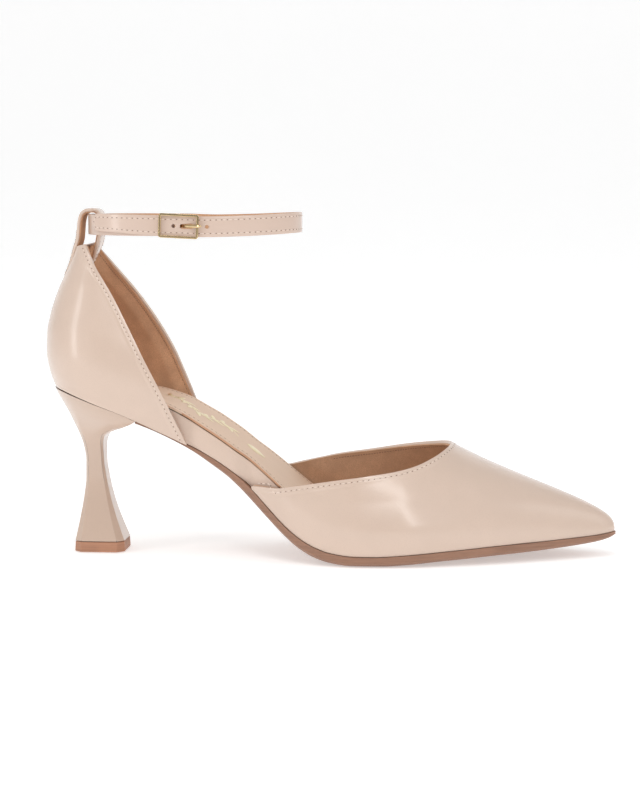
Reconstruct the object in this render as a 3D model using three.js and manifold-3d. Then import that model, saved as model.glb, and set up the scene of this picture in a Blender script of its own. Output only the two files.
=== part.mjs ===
// A pointed ankle-strap pump with a flared spool heel, right foot, as separate pieces.
// Millimetres. +X points to the toe, +Z up, +Y to the inner (medial) side of the foot.
// The origin is the centre of the ground face of the heel's top lift.

import * as THREE from 'three';
import { mergeVertices } from 'three/addons/utils/BufferGeometryUtils.js';
import Module from 'manifold-3d';

// ---------- driving dimensions ----------

const shoeLength = 238; // counter to toe tip, along X
const heelHeight = 63.4; // ground to the seat above the middle of the top lift
const width = 1; // multiplies the last's half-widths

const counterBack = -22.4; // X of the counter's rearmost point
const toeTip = counterBack + shoeLength;
const seatBack = -19.1; // X where the upper meets the heel at the back
const breast = 18.2; // X of the heel seat's front edge
const throat = 147.3; // X of the vamp's throat point

const gap = 0.3; // clearance between pieces that touch
const upperWall = 1.1; // patent upper leather
const stiffenerWall = 0.8; // toe puff and heel counter
const liningWall = 0.7; // suede-like lining
const facetGap = 0.15; // what flat facets take from the clearance between two curved walls
const stiffenerDepth = upperWall + gap + facetGap;
const liningDepth = stiffenerDepth + stiffenerWall + gap + facetGap;
const innerDepth = liningDepth + liningWall; // what the wall takes up in all
const sockWall = 1;
const wrapWall = 0.9; // leather that covers the waist
const shankThickness = 1.6;
const shankWidth = 13;
const cushionWall = 1.6;
const cushionMargin = 8; // how far the cushions lie inside the outline
const fillerWall = 1.3;
const fillerMargin = 6;
const seamGap = 0.4; // back seam between the two quarters

const liftThickness = 4.2;
const heelBaseLength = 20.8; // along X at the top lift
const heelBaseWidth = 20;
const heelCorner = 2.8; // chamfer of the base's corners
const dowelRadius = 2.1; // steel tube inside the heel
const dowelBore = 1.3;
const dowelX = -2.3;
const dowelTop = 50;
const pinRadius = 1;
const pinFoot = 1.4;
const pinTop = 16;
const nailRadius = 0.8;
const nailLength = 6;
const nailPlaces = [[-11, -8], [-11, 8], [5, -13], [5, 13]];
const screwRadius = 1.5;
const screwX = -7.2;
const screwBottom = 53;
const rivetRadius = 1.6;
const rivetPlaces = [40, 66];
const headDepth = 0.3; // how far nail, screw and rivet heads lie below the board's top

const strapWidth = 8.4;
const strapLining = 0.55;
const strapLeather = 0.75;
const strapGap = 0.12; // between the strap's two layers
const strapThickness = strapLining + strapGap + strapLeather;
const ankleBack = -2.2; // X of the strap's ankle side at the back loop
const ankleFront = 83.5; // X of the strap's ankle side at the front bend
const ankleHalf = 21.2; // half the loop's width, to the strap's ankle side
const ankleStraight = [24, 54]; // between these X the loop's sides run straight
const tailLength = 37; // free end, past the buckle's bar
const tailTaper = 1.4; // how much narrower the free end gets
const tailRise = 1.3; // how far the free end climbs over the strap under it
const overlapGap = 0.35; // between the free end and what lies under it
const holePitch = 6.8;
const holeRadius = 0.8;
const firstHole = 5.2; // from the bar to where the row of holes counts from
const slotLength = 5.6; // opening the prong comes out of
const slotCentre = 3.8; // from the bar

const frameLength = 16.4; // buckle, along the strap
const strapPlay = 0.25; // between the strap's edge and the frame, each side
const earWall = 0.5; // ears that hold the centre bar
const frameHeight = strapWidth + 2 * (strapPlay + earWall);
const frameBar = 0.95;
const frameX = 0.6; // from the centre bar to the frame's middle
const frameTilt = 0.05; // the frame's front stands off a little, in radians
const frameClear = 0.4; // between the frame and the strap under it
const tabLeaf = 0.5; // leather tab round the bar
const tabLeg = 8;
const barX = 36.4; // the buckle's centre bar
const barRadius = 0.55;
const prongWidth = 1.5;
const prongThickness = 0.9;
const prongReach = 2; // past the middle of the front bar
const eyeWall = 0.5;
const eyeRoom = 0.14;

const loopWidth = 11.5; // back loop, across the heel
const loopPlay = [2.3, 2.3, 0.5]; // room round the strap in the loop: behind it, in front of it and above it

// ---------- shared maths ----------

// A smooth curve through [x, y] points that never overshoots them.
function through(points) {
  const n = points.length;
  const slope = [];
  for (let i = 0; i < n - 1; i++) {
    slope.push((points[i + 1][1] - points[i][1]) / (points[i + 1][0] - points[i][0]));
  }
  const tangent = points.map((_, i) => {
    if (i === 0) return slope[0];
    if (i === n - 1) return slope[n - 2];
    const a = slope[i - 1];
    const b = slope[i];
    return a * b <= 0 ? 0 : (2 * a * b) / (a + b);
  });
  return (x) => {
    if (x <= points[0][0]) return points[0][1];
    if (x >= points[n - 1][0]) return points[n - 1][1];
    let i = 0;
    while (x > points[i + 1][0]) i++;
    const w = points[i + 1][0] - points[i][0];
    const t = (x - points[i][0]) / w;
    const t2 = t * t;
    const t3 = t2 * t;
    return (2 * t3 - 3 * t2 + 1) * points[i][1] + (t3 - 2 * t2 + t) * w * tangent[i]
      + (3 * t2 - 2 * t3) * points[i + 1][1] + (t3 - t2) * w * tangent[i + 1];
  };
}

const clamp = (v, lo, hi) => Math.min(hi, Math.max(lo, v));
const mix = (a, b, t) => a + (b - a) * t;
const ease = (a, b, x) => {
  const t = clamp((x - a) / (b - a), 0, 1);
  return t * t * (3 - 2 * t);
};
const steps = (n) => Array.from({ length: n + 1 }, (_, i) => i / n);
// A quarter of a rounded end: 0 at the end, 1 where the rounding stops.
const roundEnd = (d, power) => (1 - (1 - clamp(d, 0, 1)) ** power) ** (1 / power);

// The lines below are drawn for this shoe. Ahead of the breast they stretch with the shoe's length, and a
// higher or lower heel moves them by its whole difference at the heel and by nothing from the ball on.
const drawnToe = 215.6;
const drawnHeel = 63.4;
const drawnBall = 4;
const ball = 108; // X where the sole comes down to the ball's level
const stretch = (toeTip - breast) / (drawnToe - breast);
const lengthwise = (x) => (x <= breast ? x : breast + (x - breast) * stretch);
const drawnX = (x) => (x <= breast ? x : breast + (x - breast) / stretch);
const alongX = (points) => points.map(([x, v]) => [lengthwise(x), v]);
const drawnFeather = [[-19.1, 69.7], [-12.9, 68.3], [-5.8, 66], [1.4, 63.4], [8.5, 60.8], [15.3, 58],
  [20, 55.9], [26.6, 52.7], [33, 49.6], [39, 46.7], [45.4, 43.6], [52.1, 39.5], [58.9, 34.8],
  [65.2, 29.5], [71.4, 23.2], [77.8, 16.8], [83.3, 12.2], [88.6, 8.8], [93.8, 6.5], [99, 5], [108, 4],
  [118, 3.9], [128.5, 4.5], [150, 6], [169.5, 7.2], [190, 8], [204.9, 8.7], [drawnToe, 9.6]];
const drawnLine = through(drawnFeather);
const raise = (x) => {
  const share = (drawnLine(x) - drawnBall) / (drawnHeel - drawnBall);
  return x < ball ? (heelHeight - drawnHeel) * share : 0;
};
const raised = (points) => points.map(([x, z]) => [x, z + raise(x)]);
const heelRaise = raise(0);
const slopeOf = (line, x) => (line(x + 1) - line(x - 1)) / 2;

// ---------- the last: outline, bottom and ridge ----------

const toeRound = 7; // length of the toe's rounded tip
const heelRound = 27; // length of the heel's rounded back

const middleY = through(alongX([[20, 0], [100, 0], [150, 1.6], [190, 3], [drawnToe, 3.8]]));
const lateralHalf = through(alongX([[-20, 24.6], [8, 24.6], [22, 23.4], [40, 20.6], [52, 19.6],
  [62, 20.6], [72, 24], [84, 29.5], [98, 34.5], [112, 37], [128, 36.5], [146, 33], [165, 27], [185, 18.6],
  [200, 11.4], [210, 6.6], [drawnToe, 4.2]]));
const medialHalf = through(alongX([[-20, 24], [8, 24], [22, 22.5], [40, 19.3], [52, 18.5], [62, 19.5],
  [72, 23], [84, 28], [98, 32.5], [112, 35.5], [128, 37], [146, 34], [165, 27.6], [185, 18.6],
  [200, 11.2], [210, 6.4], [drawnToe, 4.2]]));

// Half-width on one side (-1 lateral, 1 medial) at X, with the whole outline moved in by inset.
function half(x, side, inset = 0) {
  const full = (side < 0 ? lateralHalf(x) : medialHalf(x)) * width - inset;
  const heel = roundEnd((x - seatBack - inset) / (heelRound - inset), 2.1);
  const toe = roundEnd((toeTip - inset - x) / toeRound, 2);
  return full * heel * toe;
}
const edgeY = (x, side, inset = 0) => middleY(x) + side * half(x, side, inset);

// Top edge of the outsole, where the upper's bottom edge runs (lateral side).
const featherRow = through(alongX(raised(drawnFeather)));
// What a steeper arch than the drawn one adds to the height a wall takes up, as a share of the wall.
const steeper = (x) => Math.max(0, Math.hypot(1, slopeOf(featherRow, x))
  - Math.hypot(1, slopeOf(drawnLine, drawnX(x))));
// The inner side of the arch is a little higher.
const archRise = through(alongX([[8, 0], [30, 2.4], [48, 3.2], [66, 3], [84, 1.6], [104, 0]]));
const across = (x, y) => clamp((y + lateralHalf(x)) / (lateralHalf(x) + medialHalf(x)), 0, 1);
const featherZ = (x, y) => featherRow(x) + archRise(x) * across(x, y);

// Ground side of the outsole; flat on the ground under the ball.
const treadRear = 107;
const treadFront = 121;
const undersideRow = through(alongX(raised([[18, 55.2], [26.6, 51.7], [33.4, 48.2], [41.8, 43.4],
  [48.6, 38.5], [55.7, 33.3], [61.3, 28.2], [67.1, 22.4], [73.7, 15.9], [79.9, 10.3], [86.2, 5.6],
  [92.5, 2.5], [99, 0.8], [treadRear, 0], [treadFront, 0], [130, 0.5], [143.8, 1.6], [159.8, 2.6],
  [176, 3.5], [192.4, 4.5], [204.9, 5.6], [212.6, 6.9], [drawnToe, 7.9]])));
const undersideZ = (x, y) => undersideRow(x) + archRise(x) * across(x, y);

// Top of the sock, along the middle of the footbed.
const footbedRow = through(alongX(raised([[-17, 74.2], [-8, 72.8], [2, 70.7], [12, 68.2], [22, 65.9],
  [33, 62.2], [44.7, 55.6], [55, 48.8], [65.4, 41.2], [73, 35.2], [80, 29.4], [88, 22.9], [96, 17.4],
  [104, 13.2], [112, 11.1], [122, 10.6], [135, 10.9], [160, 12.2], [185, 13.4], [206, 14.4]])));
const footbedZ = (x, y) => footbedRow(x) + archRise(x) * across(x, y);

// Ridge line of the last over the toes and, behind the throat, the instep that the topline is cut from.
const ridgeZ = through(alongX(raised([[62, 102], [80, 89], [100, 73], [120, 59.5], [135, 51.8],
  [147.3, 46.4], [160.9, 39.8], [175.9, 33.5], [192.6, 26.8], [204.2, 21.7], [210.5, 18.2], [213.5, 15.8],
  [215.2, 13.2], [drawnToe, 11]])));
const toplineLateral = through(alongX(raised([[64, 30.2], [67, 30.5], [76, 30.4], [84, 31.5], [92, 33],
  [103, 34.8], [115, 36.4], [125, 37.8], [133, 39.6], [141, 42.8], [145, 45], [147.3, 46.4]])));
const toplineMedial = through(alongX(raised([[64, 32.6], [72, 32.9], [77.5, 33.7], [84.5, 35.2],
  [91.5, 36.6], [98.4, 38], [112.3, 40], [126.8, 42.6], [140.4, 45], [147.3, 46.4]])));

// Back edge and front edges of the quarters, as [X, Z] from the bottom to the top.
const backLine = [[-19.1, 69.7], [-21.2, 76], [-22.4, 83.5], [-22.2, 91.5], [-20.6, 100], [-17.4, 109.6],
  [-12.9, 119.6], [-10, 127.5]];
const frontLateral = [[39, 47.2], [33.8, 57.4], [28, 69.3], [22.4, 80.5], [16.4, 92.8], [8.9, 107],
  [0.6, 120], [-4.4, 128.8]];
const frontMedial = [[43, 48.6], [38, 59], [33.2, 70], [28, 82], [21.6, 94], [13.2, 107], [2.8, 120.4],
  [-4, 129]];
const knots = steps(backLine.length - 1);
const plot = (points, axis) => through(alongX(raised(points)).map((p, i) => [knots[i], p[axis]]));
const edges = {
  back: [plot(backLine, 0), plot(backLine, 1)],
  lateral: [plot(frontLateral, 0), plot(frontLateral, 1)],
  medial: [plot(frontMedial, 0), plot(frontMedial, 1)],
};
const backX = through(raised(backLine).map(([x, z]) => [z, x]));
// How far the quarter's wall stands outside the feather line, by height above it.
const swell = through([[0, 0], [8, 2], [16, 2.9], [26, 2.2], [36, -0.4], [46, -4.2], [58, -9.6], [70, -13]]);

// ---------- meshes ----------

const material = (color, roughness, metalness = 0) => (
  new THREE.MeshStandardMaterial({ color, roughness, metalness })
);
const finishes = {
  patent: material(0xdac4b7, 0.22),
  heel: material(0xc9af9b, 0.25),
  lining: material(0xb08a6c, 0.9),
  sock: material(0xd3b7a2, 0.7),
  outsole: material(0xa68068, 0.55),
  topLift: material(0xaf8063, 0.5),
  board: material(0x9a7b58, 0.9),
  foam: material(0xe6dccb, 0.95),
  stiffener: material(0xd8d2c2, 0.8),
  steel: material(0x9a9ca0, 0.35, 1),
  gold: material(0xd9b777, 0.2, 1),
};

const key = (p) => p.map((v) => Math.round(v * 2000)).join();

// Rows of points to an open sheet; points that fall together are shared and flat triangles left out.
function weave(...patches) {
  const points = [];
  const index = new Map();
  const triangles = [];
  const at = (p) => {
    const k = key(p);
    if (!index.has(k)) {
      index.set(k, points.length);
      points.push(p);
    }
    return index.get(k);
  };
  const face = (a, b, c) => {
    if (a !== b && b !== c && a !== c) triangles.push([a, b, c]);
  };
  for (const rows of patches) {
    for (let i = 0; i < rows.length - 1; i++) {
      for (let j = 0; j < rows[i].length - 1; j++) {
        const [a, b, c, d] = [rows[i][j], rows[i][j + 1], rows[i + 1][j + 1], rows[i + 1][j]].map(at);
        face(a, b, c);
        face(a, c, d);
      }
    }
  }
  return { points, triangles };
}

// Two copies of a sheet, placed by near and far, joined round their free edges into one closed body.
function closed(sheet, near, far) {
  const n = sheet.points.length;
  const vertices = [...sheet.points.map(near), ...sheet.points.map(far)];
  const triangles = [];
  const free = new Map();
  for (const [a, b, c] of sheet.triangles) {
    triangles.push([a, b, c], [a + n, c + n, b + n]);
    for (const [p, q] of [[a, b], [b, c], [c, a]]) {
      if (free.has(`${q},${p}`)) free.delete(`${q},${p}`);
      else free.set(`${p},${q}`, [p, q]);
    }
  }
  for (const [p, q] of free.values()) triangles.push([p, p + n, q + n], [p, q + n, q]);
  return body(vertices, triangles);
}

// Points and triangles to a geometry whose faces point outwards.
function body(vertices, triangles) {
  const shared = [];
  const index = new Map();
  const at = vertices.map((p) => {
    const k = key(p);
    if (!index.has(k)) {
      index.set(k, shared.length);
      shared.push(p);
    }
    return index.get(k);
  });
  let faces = triangles.map((t) => t.map((v) => at[v])).filter(([a, b, c]) => a !== b && b !== c && a !== c);
  let volume = 0;
  for (const [a, b, c] of faces) {
    const [p, q, r] = [shared[a], shared[b], shared[c]];
    volume += p[0] * (q[1] * r[2] - q[2] * r[1]) + p[1] * (q[2] * r[0] - q[0] * r[2])
      + p[2] * (q[0] * r[1] - q[1] * r[0]);
  }
  if (volume < 0) faces = faces.map(([a, b, c]) => [a, c, b]);
  const geometry = new THREE.BufferGeometry();
  geometry.setAttribute('position', new THREE.Float32BufferAttribute(shared.flat(), 3));
  geometry.setIndex(faces.flat());
  geometry.computeVertexNormals();
  return geometry;
}

// A wall of leather: the sheet's own face, moved along its normals by near and by far.
function wall(sheet, outward, near, far) {
  const normals = sheet.points.map(() => new THREE.Vector3());
  for (const [a, b, c] of sheet.triangles) {
    const [p, q, r] = [a, b, c].map((v) => new THREE.Vector3(...sheet.points[v]));
    const face = q.clone().sub(p).cross(r.clone().sub(p));
    [a, b, c].forEach((v) => normals[v].add(face));
  }
  const place = new Map(sheet.points.map((p, i) => [p, normals[i].normalize().multiplyScalar(outward)]));
  const moved = (depth) => (p) => {
    const n = place.get(p);
    const d = typeof depth === 'function' ? depth(p) : depth;
    return [p[0] - n.x * d, p[1] - n.y * d, p[2] - n.z * d];
  };
  return closed(sheet, moved(near), moved(far));
}

const even = (d) => () => d;
const crowd = 0.28; // how closely rows gather at a rounded end

// A flat-lying piece of the sole: its plan outline, and its top and bottom as heights over X and Y.
function slab({ from, to, rows, columns, inset, top, bottom, ends = [false, false] }) {
  const grid = steps(rows).map((t) => {
    // Rows crowd towards a rounded end.
    const rearwards = ends[0] ? Math.sin(Math.PI * t) * (1 - t) : 0;
    const forwards = ends[1] ? Math.sin(Math.PI * t) * t : 0;
    const s = t + crowd * (forwards - rearwards);
    const x = mix(from, to, s);
    const lateral = edgeY(x, -1, inset(x, -1));
    const medial = edgeY(x, 1, inset(x, 1));
    return steps(columns).map((u) => [x, mix(lateral, medial, u), 0]);
  });
  const sheet = weave(grid);
  return closed(sheet, ([x, y]) => [x, y, top(x, y)], ([x, y]) => [x, y, bottom(x, y)]);
}

const wasm = await Module();
wasm.setup();

function solid(geometry) {
  const plain = geometry.clone();
  plain.deleteAttribute('normal');
  plain.deleteAttribute('uv');
  const merged = mergeVertices(plain, 1e-4);
  return new wasm.Manifold(new wasm.Mesh({
    numProp: 3,
    vertProperties: new Float32Array(merged.attributes.position.array),
    triVerts: new Uint32Array(merged.index.array),
  }));
}

function mesh(manifold) {
  const { vertProperties, triVerts } = manifold.getMesh();
  const geometry = new THREE.BufferGeometry();
  geometry.setAttribute('position', new THREE.Float32BufferAttribute(vertProperties, 3));
  geometry.setIndex(Array.from(triVerts));
  geometry.computeVertexNormals();
  return geometry;
}

const cut = (geometry, ...tools) => (
  mesh(tools.reduce((left, tool) => left.subtract(solid(tool)), solid(geometry)))
);
const join = (geometry, ...more) => (
  mesh(more.reduce((left, other) => left.add(solid(other)), solid(geometry)))
);

// An upright cylinder between two heights.
function post(x, y, radius, bottom, top, sides = 16) {
  return new THREE.CylinderGeometry(radius, radius, top - bottom, sides)
    .rotateX(Math.PI / 2)
    .translate(x, y, (top + bottom) / 2);
}

const shoe = new THREE.Group();
function add(name, geometry, finish) {
  const piece = new THREE.Mesh(geometry, finish);
  piece.name = name;
  shoe.add(piece);
}

// Height of the strap's middle along X; the strap keeps its height over the counter.
const drawnStrap = [[-3, 137.2], [24, 137.1], [36, 137], [46, 136.7], [61, 137], [74, 137.6], [84, 138.2]];
const strapMiddle = through(drawnStrap.map(([x, z]) => [x, z + heelRaise]));
const strapBackZ = strapMiddle(ankleBack);

// ---------- upper: vamp ----------

const throatX = lengthwise(throat);
const vampRear = lengthwise(66);

const sectionPower = 2.1;
const vampBulge = 1.3; // how far the vamp stands out over the feather line

// A point of the vamp's outer face: theta 0 at the lateral feather, PI/2 on the ridge, PI at the medial one.
function vampPoint(x, theta) {
  const c = Math.cos(theta);
  const side = c >= 0 ? -1 : 1;
  const reach = Math.abs(c) ** (2 / sectionPower);
  const height = Math.abs(Math.sin(theta)) ** (2 / sectionPower);
  const edge = edgeY(x, side);
  const base = featherZ(x, edge) + gap;
  const z = mix(base, ridgeZ(x), height);
  const bulge = vampBulge * Math.sin(Math.PI * clamp((z - base) / 22, 0, 1)) * clamp((toeTip - x) / 40, 0, 1);
  return [x, middleY(x) + side * (half(x, side) * reach + bulge), z];
}
function toplineAngle(x, side) {
  const base = featherZ(x, edgeY(x, side)) + gap;
  const z = side < 0 ? toplineLateral(x) : toplineMedial(x);
  const t = clamp((z - base) / (ridgeZ(x) - base), 0.006, 1);
  return Math.asin(Math.min(1, t ** (sectionPower / 2)));
}
function vampSheet(rear, front, rearRows, frontRows, columns) {
  const behind = steps(rearRows).map((t) => mix(rear, throatX, Math.sin((Math.PI * t) / 2)));
  const ahead = steps(frontRows).map((t) => mix(throatX, front, Math.sin((Math.PI * t) / 2)));
  const arc = (x, a, b) => steps(columns).map((u) => vampPoint(x, mix(a, b, u)));
  const lateral = behind.map((x) => arc(x, 0, x >= throatX ? Math.PI / 2 : toplineAngle(x, -1)));
  const medial = behind.map((x) => arc(x, x >= throatX ? Math.PI / 2 : Math.PI - toplineAngle(x, 1), Math.PI));
  const lateralToe = ahead.map((x) => arc(x, 0, Math.PI / 2));
  const medialToe = ahead.map((x) => arc(x, Math.PI / 2, Math.PI));
  return weave(lateral, medial, lateralToe, medialToe);
}

const vamp = vampSheet(vampRear, toeTip, 12, 14, 7);
add('vamp_outer', wall(vamp, -1, 0, upperWall), finishes.patent);
// The lining comes up against the upper at the topline and makes room for the puff at the toe.
const puffRear = lengthwise(172);
const vampLiningDepth = ([x]) => mix(upperWall + gap, liningDepth, ease(puffRear - 16, puffRear - 2, x));
add('vamp_lining', wall(vamp, -1, vampLiningDepth, (p) => vampLiningDepth(p) + liningWall), finishes.lining);

const puffRows = steps(8).map((t) => mix(puffRear, toeTip - 1, Math.sin((Math.PI * t) / 2)));
const puff = weave(puffRows.map((x) => steps(12).map((u) => vampPoint(x, mix(0.12, Math.PI - 0.12, u)))));
add('toe_puff', wall(puff, -1, stiffenerDepth, stiffenerDepth + stiffenerWall), finishes.stiffener);

// ---------- upper: quarters, counter and back loop ----------

// A point of a quarter's outer face: a runs from the back seam to the front edge, t from the bottom to the top.
function quarterPoint(a, t, side) {
  const front = side < 0 ? edges.lateral : edges.medial;
  const g = 1 - Math.cos((a * Math.PI) / 2);
  const x = mix(edges.back[0](t), front[0](t), g);
  const line = featherZ(x, side * half(x, side));
  // The bottom edge follows the feather line, and the wall above it eases off that line.
  const sag = line - mix(edges.back[1](0), front[1](0), g);
  const z = mix(edges.back[1](t), front[1](t), g) + sag * (1 - t) ** 3 + gap;
  const start = a > 0 ? Math.min(backX(z - gap), x) : x;
  const out = (side < 0 ? lateralHalf(x) : medialHalf(x)) * width + swell(z - line);
  const y = out * roundEnd((x - start) / (heelRound * clamp(out / 24, 0.35, 1)), 2.1);
  return [x, middleY(x) + side * Math.max(y, seamGap / 2), z];
}
function quarterRows(side, across, up, reach, low, high) {
  return steps(across).map((a) => steps(up).map((t) => quarterPoint(a * reach, mix(low, high, t), side)));
}
const liningReach = 0.955; // share of the quarter's front that the lining reaches
const quarterLateral = weave(quarterRows(-1, 10, 12, 1, 0, 1));
const quarterMedial = weave(quarterRows(1, 10, 12, 1, 0, 1));
add('quarter_lateral', wall(quarterLateral, -1, 0, upperWall), finishes.patent);
add('quarter_medial', wall(quarterMedial, 1, 0, upperWall), finishes.patent);

// Pieces that run round the heel in one are closed at the back.
function aroundHeel(acrossRows, up, reach, low, high) {
  const [back, ...medial] = quarterRows(1, acrossRows, up, reach, low, high);
  const lateral = quarterRows(-1, acrossRows, up, reach, low, high).slice(1).reverse();
  return [...lateral, back.map(([x, , z]) => [x, middleY(x), z]), ...medial];
}
add('quarter_lining', wall(weave(aroundHeel(10, 12, liningReach, 0.01, 0.985)), 1, liningDepth, innerDepth),
  finishes.lining);
add('counter_stiffener', wall(weave(aroundHeel(8, 8, 0.72, 0.02, 0.7)), 1, stiffenerDepth,
  stiffenerDepth + stiffenerWall), finishes.stiffener);

// The back loop: a folded strip sewn outside and inside the counter, with the strap's space in its bight.
function plate(outline, near, far) {
  const flat = outline.map(([x, z]) => new THREE.Vector2(x, z));
  const triangles = THREE.ShapeUtils.triangulateShape(flat, []);
  return closed({ points: outline.map(([x, z]) => [x, 0, z]), triangles }, near, far);
}
const holeRear = ankleBack - strapThickness - loopPlay[0];
const holeFront = ankleBack + loopPlay[1];
const counterTop = edges.back[0](1);
const counterHeight = edges.back[1](1);
const holeFoot = counterHeight + 1.7;
const holeTop = strapBackZ + strapWidth / 2 + loopPlay[2];
const loopLow = counterHeight - 11.5;
const loopMid = counterHeight - 5.5;
const loopOutline = [
  [backX(loopLow) - 1.1, loopLow], [backX(loopMid) - 1, loopMid], [counterTop - 0.95, holeFoot - 2.4],
  [counterTop - 0.7, holeFoot + 0.2], [holeRear - 3.3, holeFoot + 2.6], [holeRear - 2.8, holeTop - 6],
  [holeRear - 1.7, holeTop - 1.4],
  [holeRear + 0.6, holeTop + 1], [holeRear + 3.8, holeTop + 1.9], [holeFront + 0.5, holeTop + 1.3],
  [holeFront + 1.4, holeTop - 0.6], [holeFront + 1.4, holeTop - 5.5], [holeFront + 0.2, holeFoot + 1],
  [holeFront - 2.2, holeFoot - 4.4], [holeFront - 5, holeFoot - 9.6], [holeFront - 5.6, holeFoot - 9.4],
  [holeFront - 3.6, holeFoot - 4.4], [holeFront - 1.4, holeFoot + 0.8], [holeFront, holeFoot + 4],
  [holeFront, holeTop - 1.4], [holeFront - 1.4, holeTop], [holeRear + 1.2, holeTop], [holeRear, holeTop - 1.2],
  [holeRear, holeFoot + 0.2], [counterTop - 0.15, holeFoot], [counterTop - 0.4, holeFoot - 2.2],
  [backX(loopMid) - 0.45, loopMid], [backX(loopLow) - 0.5, loopLow],
];
add('back_loop', plate(loopOutline, ([x, , z]) => [x, -loopWidth / 2, z], ([x, , z]) => [x, loopWidth / 2, z]),
  finishes.patent);

// ---------- sole ----------

// How far the pieces of the footbed lie inside the outline: inside the linings, and out at the bare waist.
const waistInset = {
  '-1': through(alongX([[30, innerDepth + 0.5], [36.5, 1.7], [39.6, 1.7], [43, 0.2], [58, 0.2], [64.5, 2.7],
    [154, 2.7], [170, innerDepth + 1], [216, innerDepth + 1]])),
  1: through(alongX([[30, innerDepth + 0.5], [40, innerDepth + 0.5], [41.6, 1.7], [43.6, 1.7], [47, 0.2],
    [58, 0.2], [64.5, 2.7], [154, 2.7], [170, innerDepth + 1], [216, innerDepth + 1]])),
};
// What a blunter toe than the drawn one adds to the width a wall takes up, as a share of the wall.
const blunter = (x) => {
  const slope = slopeOf(lateralHalf, x);
  return x < lengthwise(150) ? 0 : Math.max(0, Math.hypot(1, slope) - Math.hypot(1, slope * stretch));
};
const sockInset = (x, side) => waistInset[side](x) + 2 * innerDepth * blunter(x);
const underWrap = wrapWall + gap + 0.4;
const boardInset = (x, side) => Math.max(...[-3, 0, 3].map((d) => sockInset(x + d, side)))
  + (x > lengthwise(30) && x < lengthwise(84) ? underWrap : 0.2);
const outsoleInset = through(alongX([[19, 2.4], [34, 1.8], [44, 0.6], [60, 0.1], [80, -0.3], [216, -0.4]]));

const soleRear = breast + gap * 2;
add('outsole', slab({
  from: soleRear, to: toeTip + 0.4, rows: 38, columns: 6, inset: outsoleInset, ends: [false, true],
  top: (x, y) => featherZ(x, y) - 0.1, bottom: undersideZ,
}), finishes.outsole);

// Leather round the bare waist: up one side of the board, under it and up the other side.
const wrapFrom = lengthwise(36.4);
const wrapTo = lengthwise(80);
const wrapRows = steps(16).map((t) => {
  const x = mix(wrapFrom, wrapTo, t);
  const row = [];
  for (const [side, order] of [[-1, [0, 1, 2]], [1, [2, 1, 0]]]) {
    const y = edgeY(x, side, waistInset[side](x));
    const top = footbedZ(x, y) - sockWall - gap - facetGap * (1 + 4 * steeper(x));
    const foot = featherZ(x, y) + gap;
    const places = [[y, top], [y, mix(foot, top, 0.5)], [y, foot]];
    row.push(...order.map((k) => [x, ...places[k]]));
    if (side < 0) row.push(...[0.25, 0.5, 0.75].map((u) => {
      const middle = mix(y, edgeY(x, 1, waistInset[1](x)), u);
      return [x, middle, featherZ(x, middle) + gap];
    }));
  }
  return row;
});
add('waist_wrap', wall(weave(wrapRows), 1, 0, wrapWall), finishes.patent);

const shankFrom = 22;
const shankTo = lengthwise(92);
const shankFloor = (x) => wrapWall * (1 + 1.5 * steeper(x)) + 2 * gap + 0.25;
const boardOverShank = shankThickness + gap * 2;
const boardFloor = (x) => mix(0.9, shankFloor(x) + boardOverShank, ease(12, 20, x))
  - (shankFloor(x) + boardOverShank - 2) * ease(lengthwise(92), lengthwise(100), x);
const cushionEnd = lengthwise(25);
const padFrom = lengthwise(98);
const padTo = lengthwise(138);
const padRoom = cushionWall + 2 * gap + facetGap * 2;
const padded = (x) => 1 - ease(cushionEnd + 3, cushionEnd + 9, x)
  + ease(padFrom - 9, padFrom - 3, x) * (1 - ease(padTo + 3, padTo + 9, x));
const boardDrop = (x) => sockWall + mix(gap, padRoom, padded(x));
const boardTop = (x, y) => footbedZ(x, y) - boardDrop(x);
const boardBottom = (x, y) => featherZ(x, y) + boardFloor(x);
const board = slab({
  from: seatBack + innerDepth + 1, to: toeTip - innerDepth - 4, rows: 42, columns: 6, inset: boardInset,
  ends: [true, true], top: boardTop, bottom: boardBottom,
});
const above = ridgeZ(0) + 40; // a height clear above the footbed, for tools that cut down through it
const holesDown = [
  ...nailPlaces.map(([x, y]) => post(x, y, nailRadius + gap / 2, 0, above, 10)),
  post(screwX, 0, screwRadius + gap / 2, 0, above, 12),
  ...rivetPlaces.map((x) => post(lengthwise(x), 0, rivetRadius + gap / 2, 0, above, 10)),
];
add('insole_board', cut(board, ...holesDown), finishes.board);

const shank = slab({
  from: shankFrom, to: shankTo, rows: 14, columns: 2, inset: (x, side) => half(x, side) - shankWidth / 2,
  top: (x, y) => featherZ(x, y) + shankFloor(x) + shankThickness,
  bottom: (x, y) => featherZ(x, y) + shankFloor(x),
});
add('shank', cut(shank, ...rivetPlaces.map((x) => post(lengthwise(x), 0, rivetRadius + gap / 2, 0, above, 10))),
  finishes.steel);
for (const [name, place] of [['rear', rivetPlaces[0]], ['front', rivetPlaces[1]]]) {
  const x = lengthwise(place);
  const foot = featherZ(x - rivetRadius, 0) + shankFloor(x - rivetRadius);
  const head = boardTop(x + rivetRadius, 0) - headDepth;
  add(`shank_rivet_${name}`, post(x, 0, rivetRadius, foot, head, 10), finishes.steel);
}

add('bottom_filler', slab({
  from: lengthwise(102), to: lengthwise(196), rows: 16, columns: 4,
  inset: even(fillerMargin), top: (x, y) => featherZ(x, y) + gap + fillerWall,
  bottom: (x, y) => featherZ(x, y) + gap,
}), finishes.board);

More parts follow.
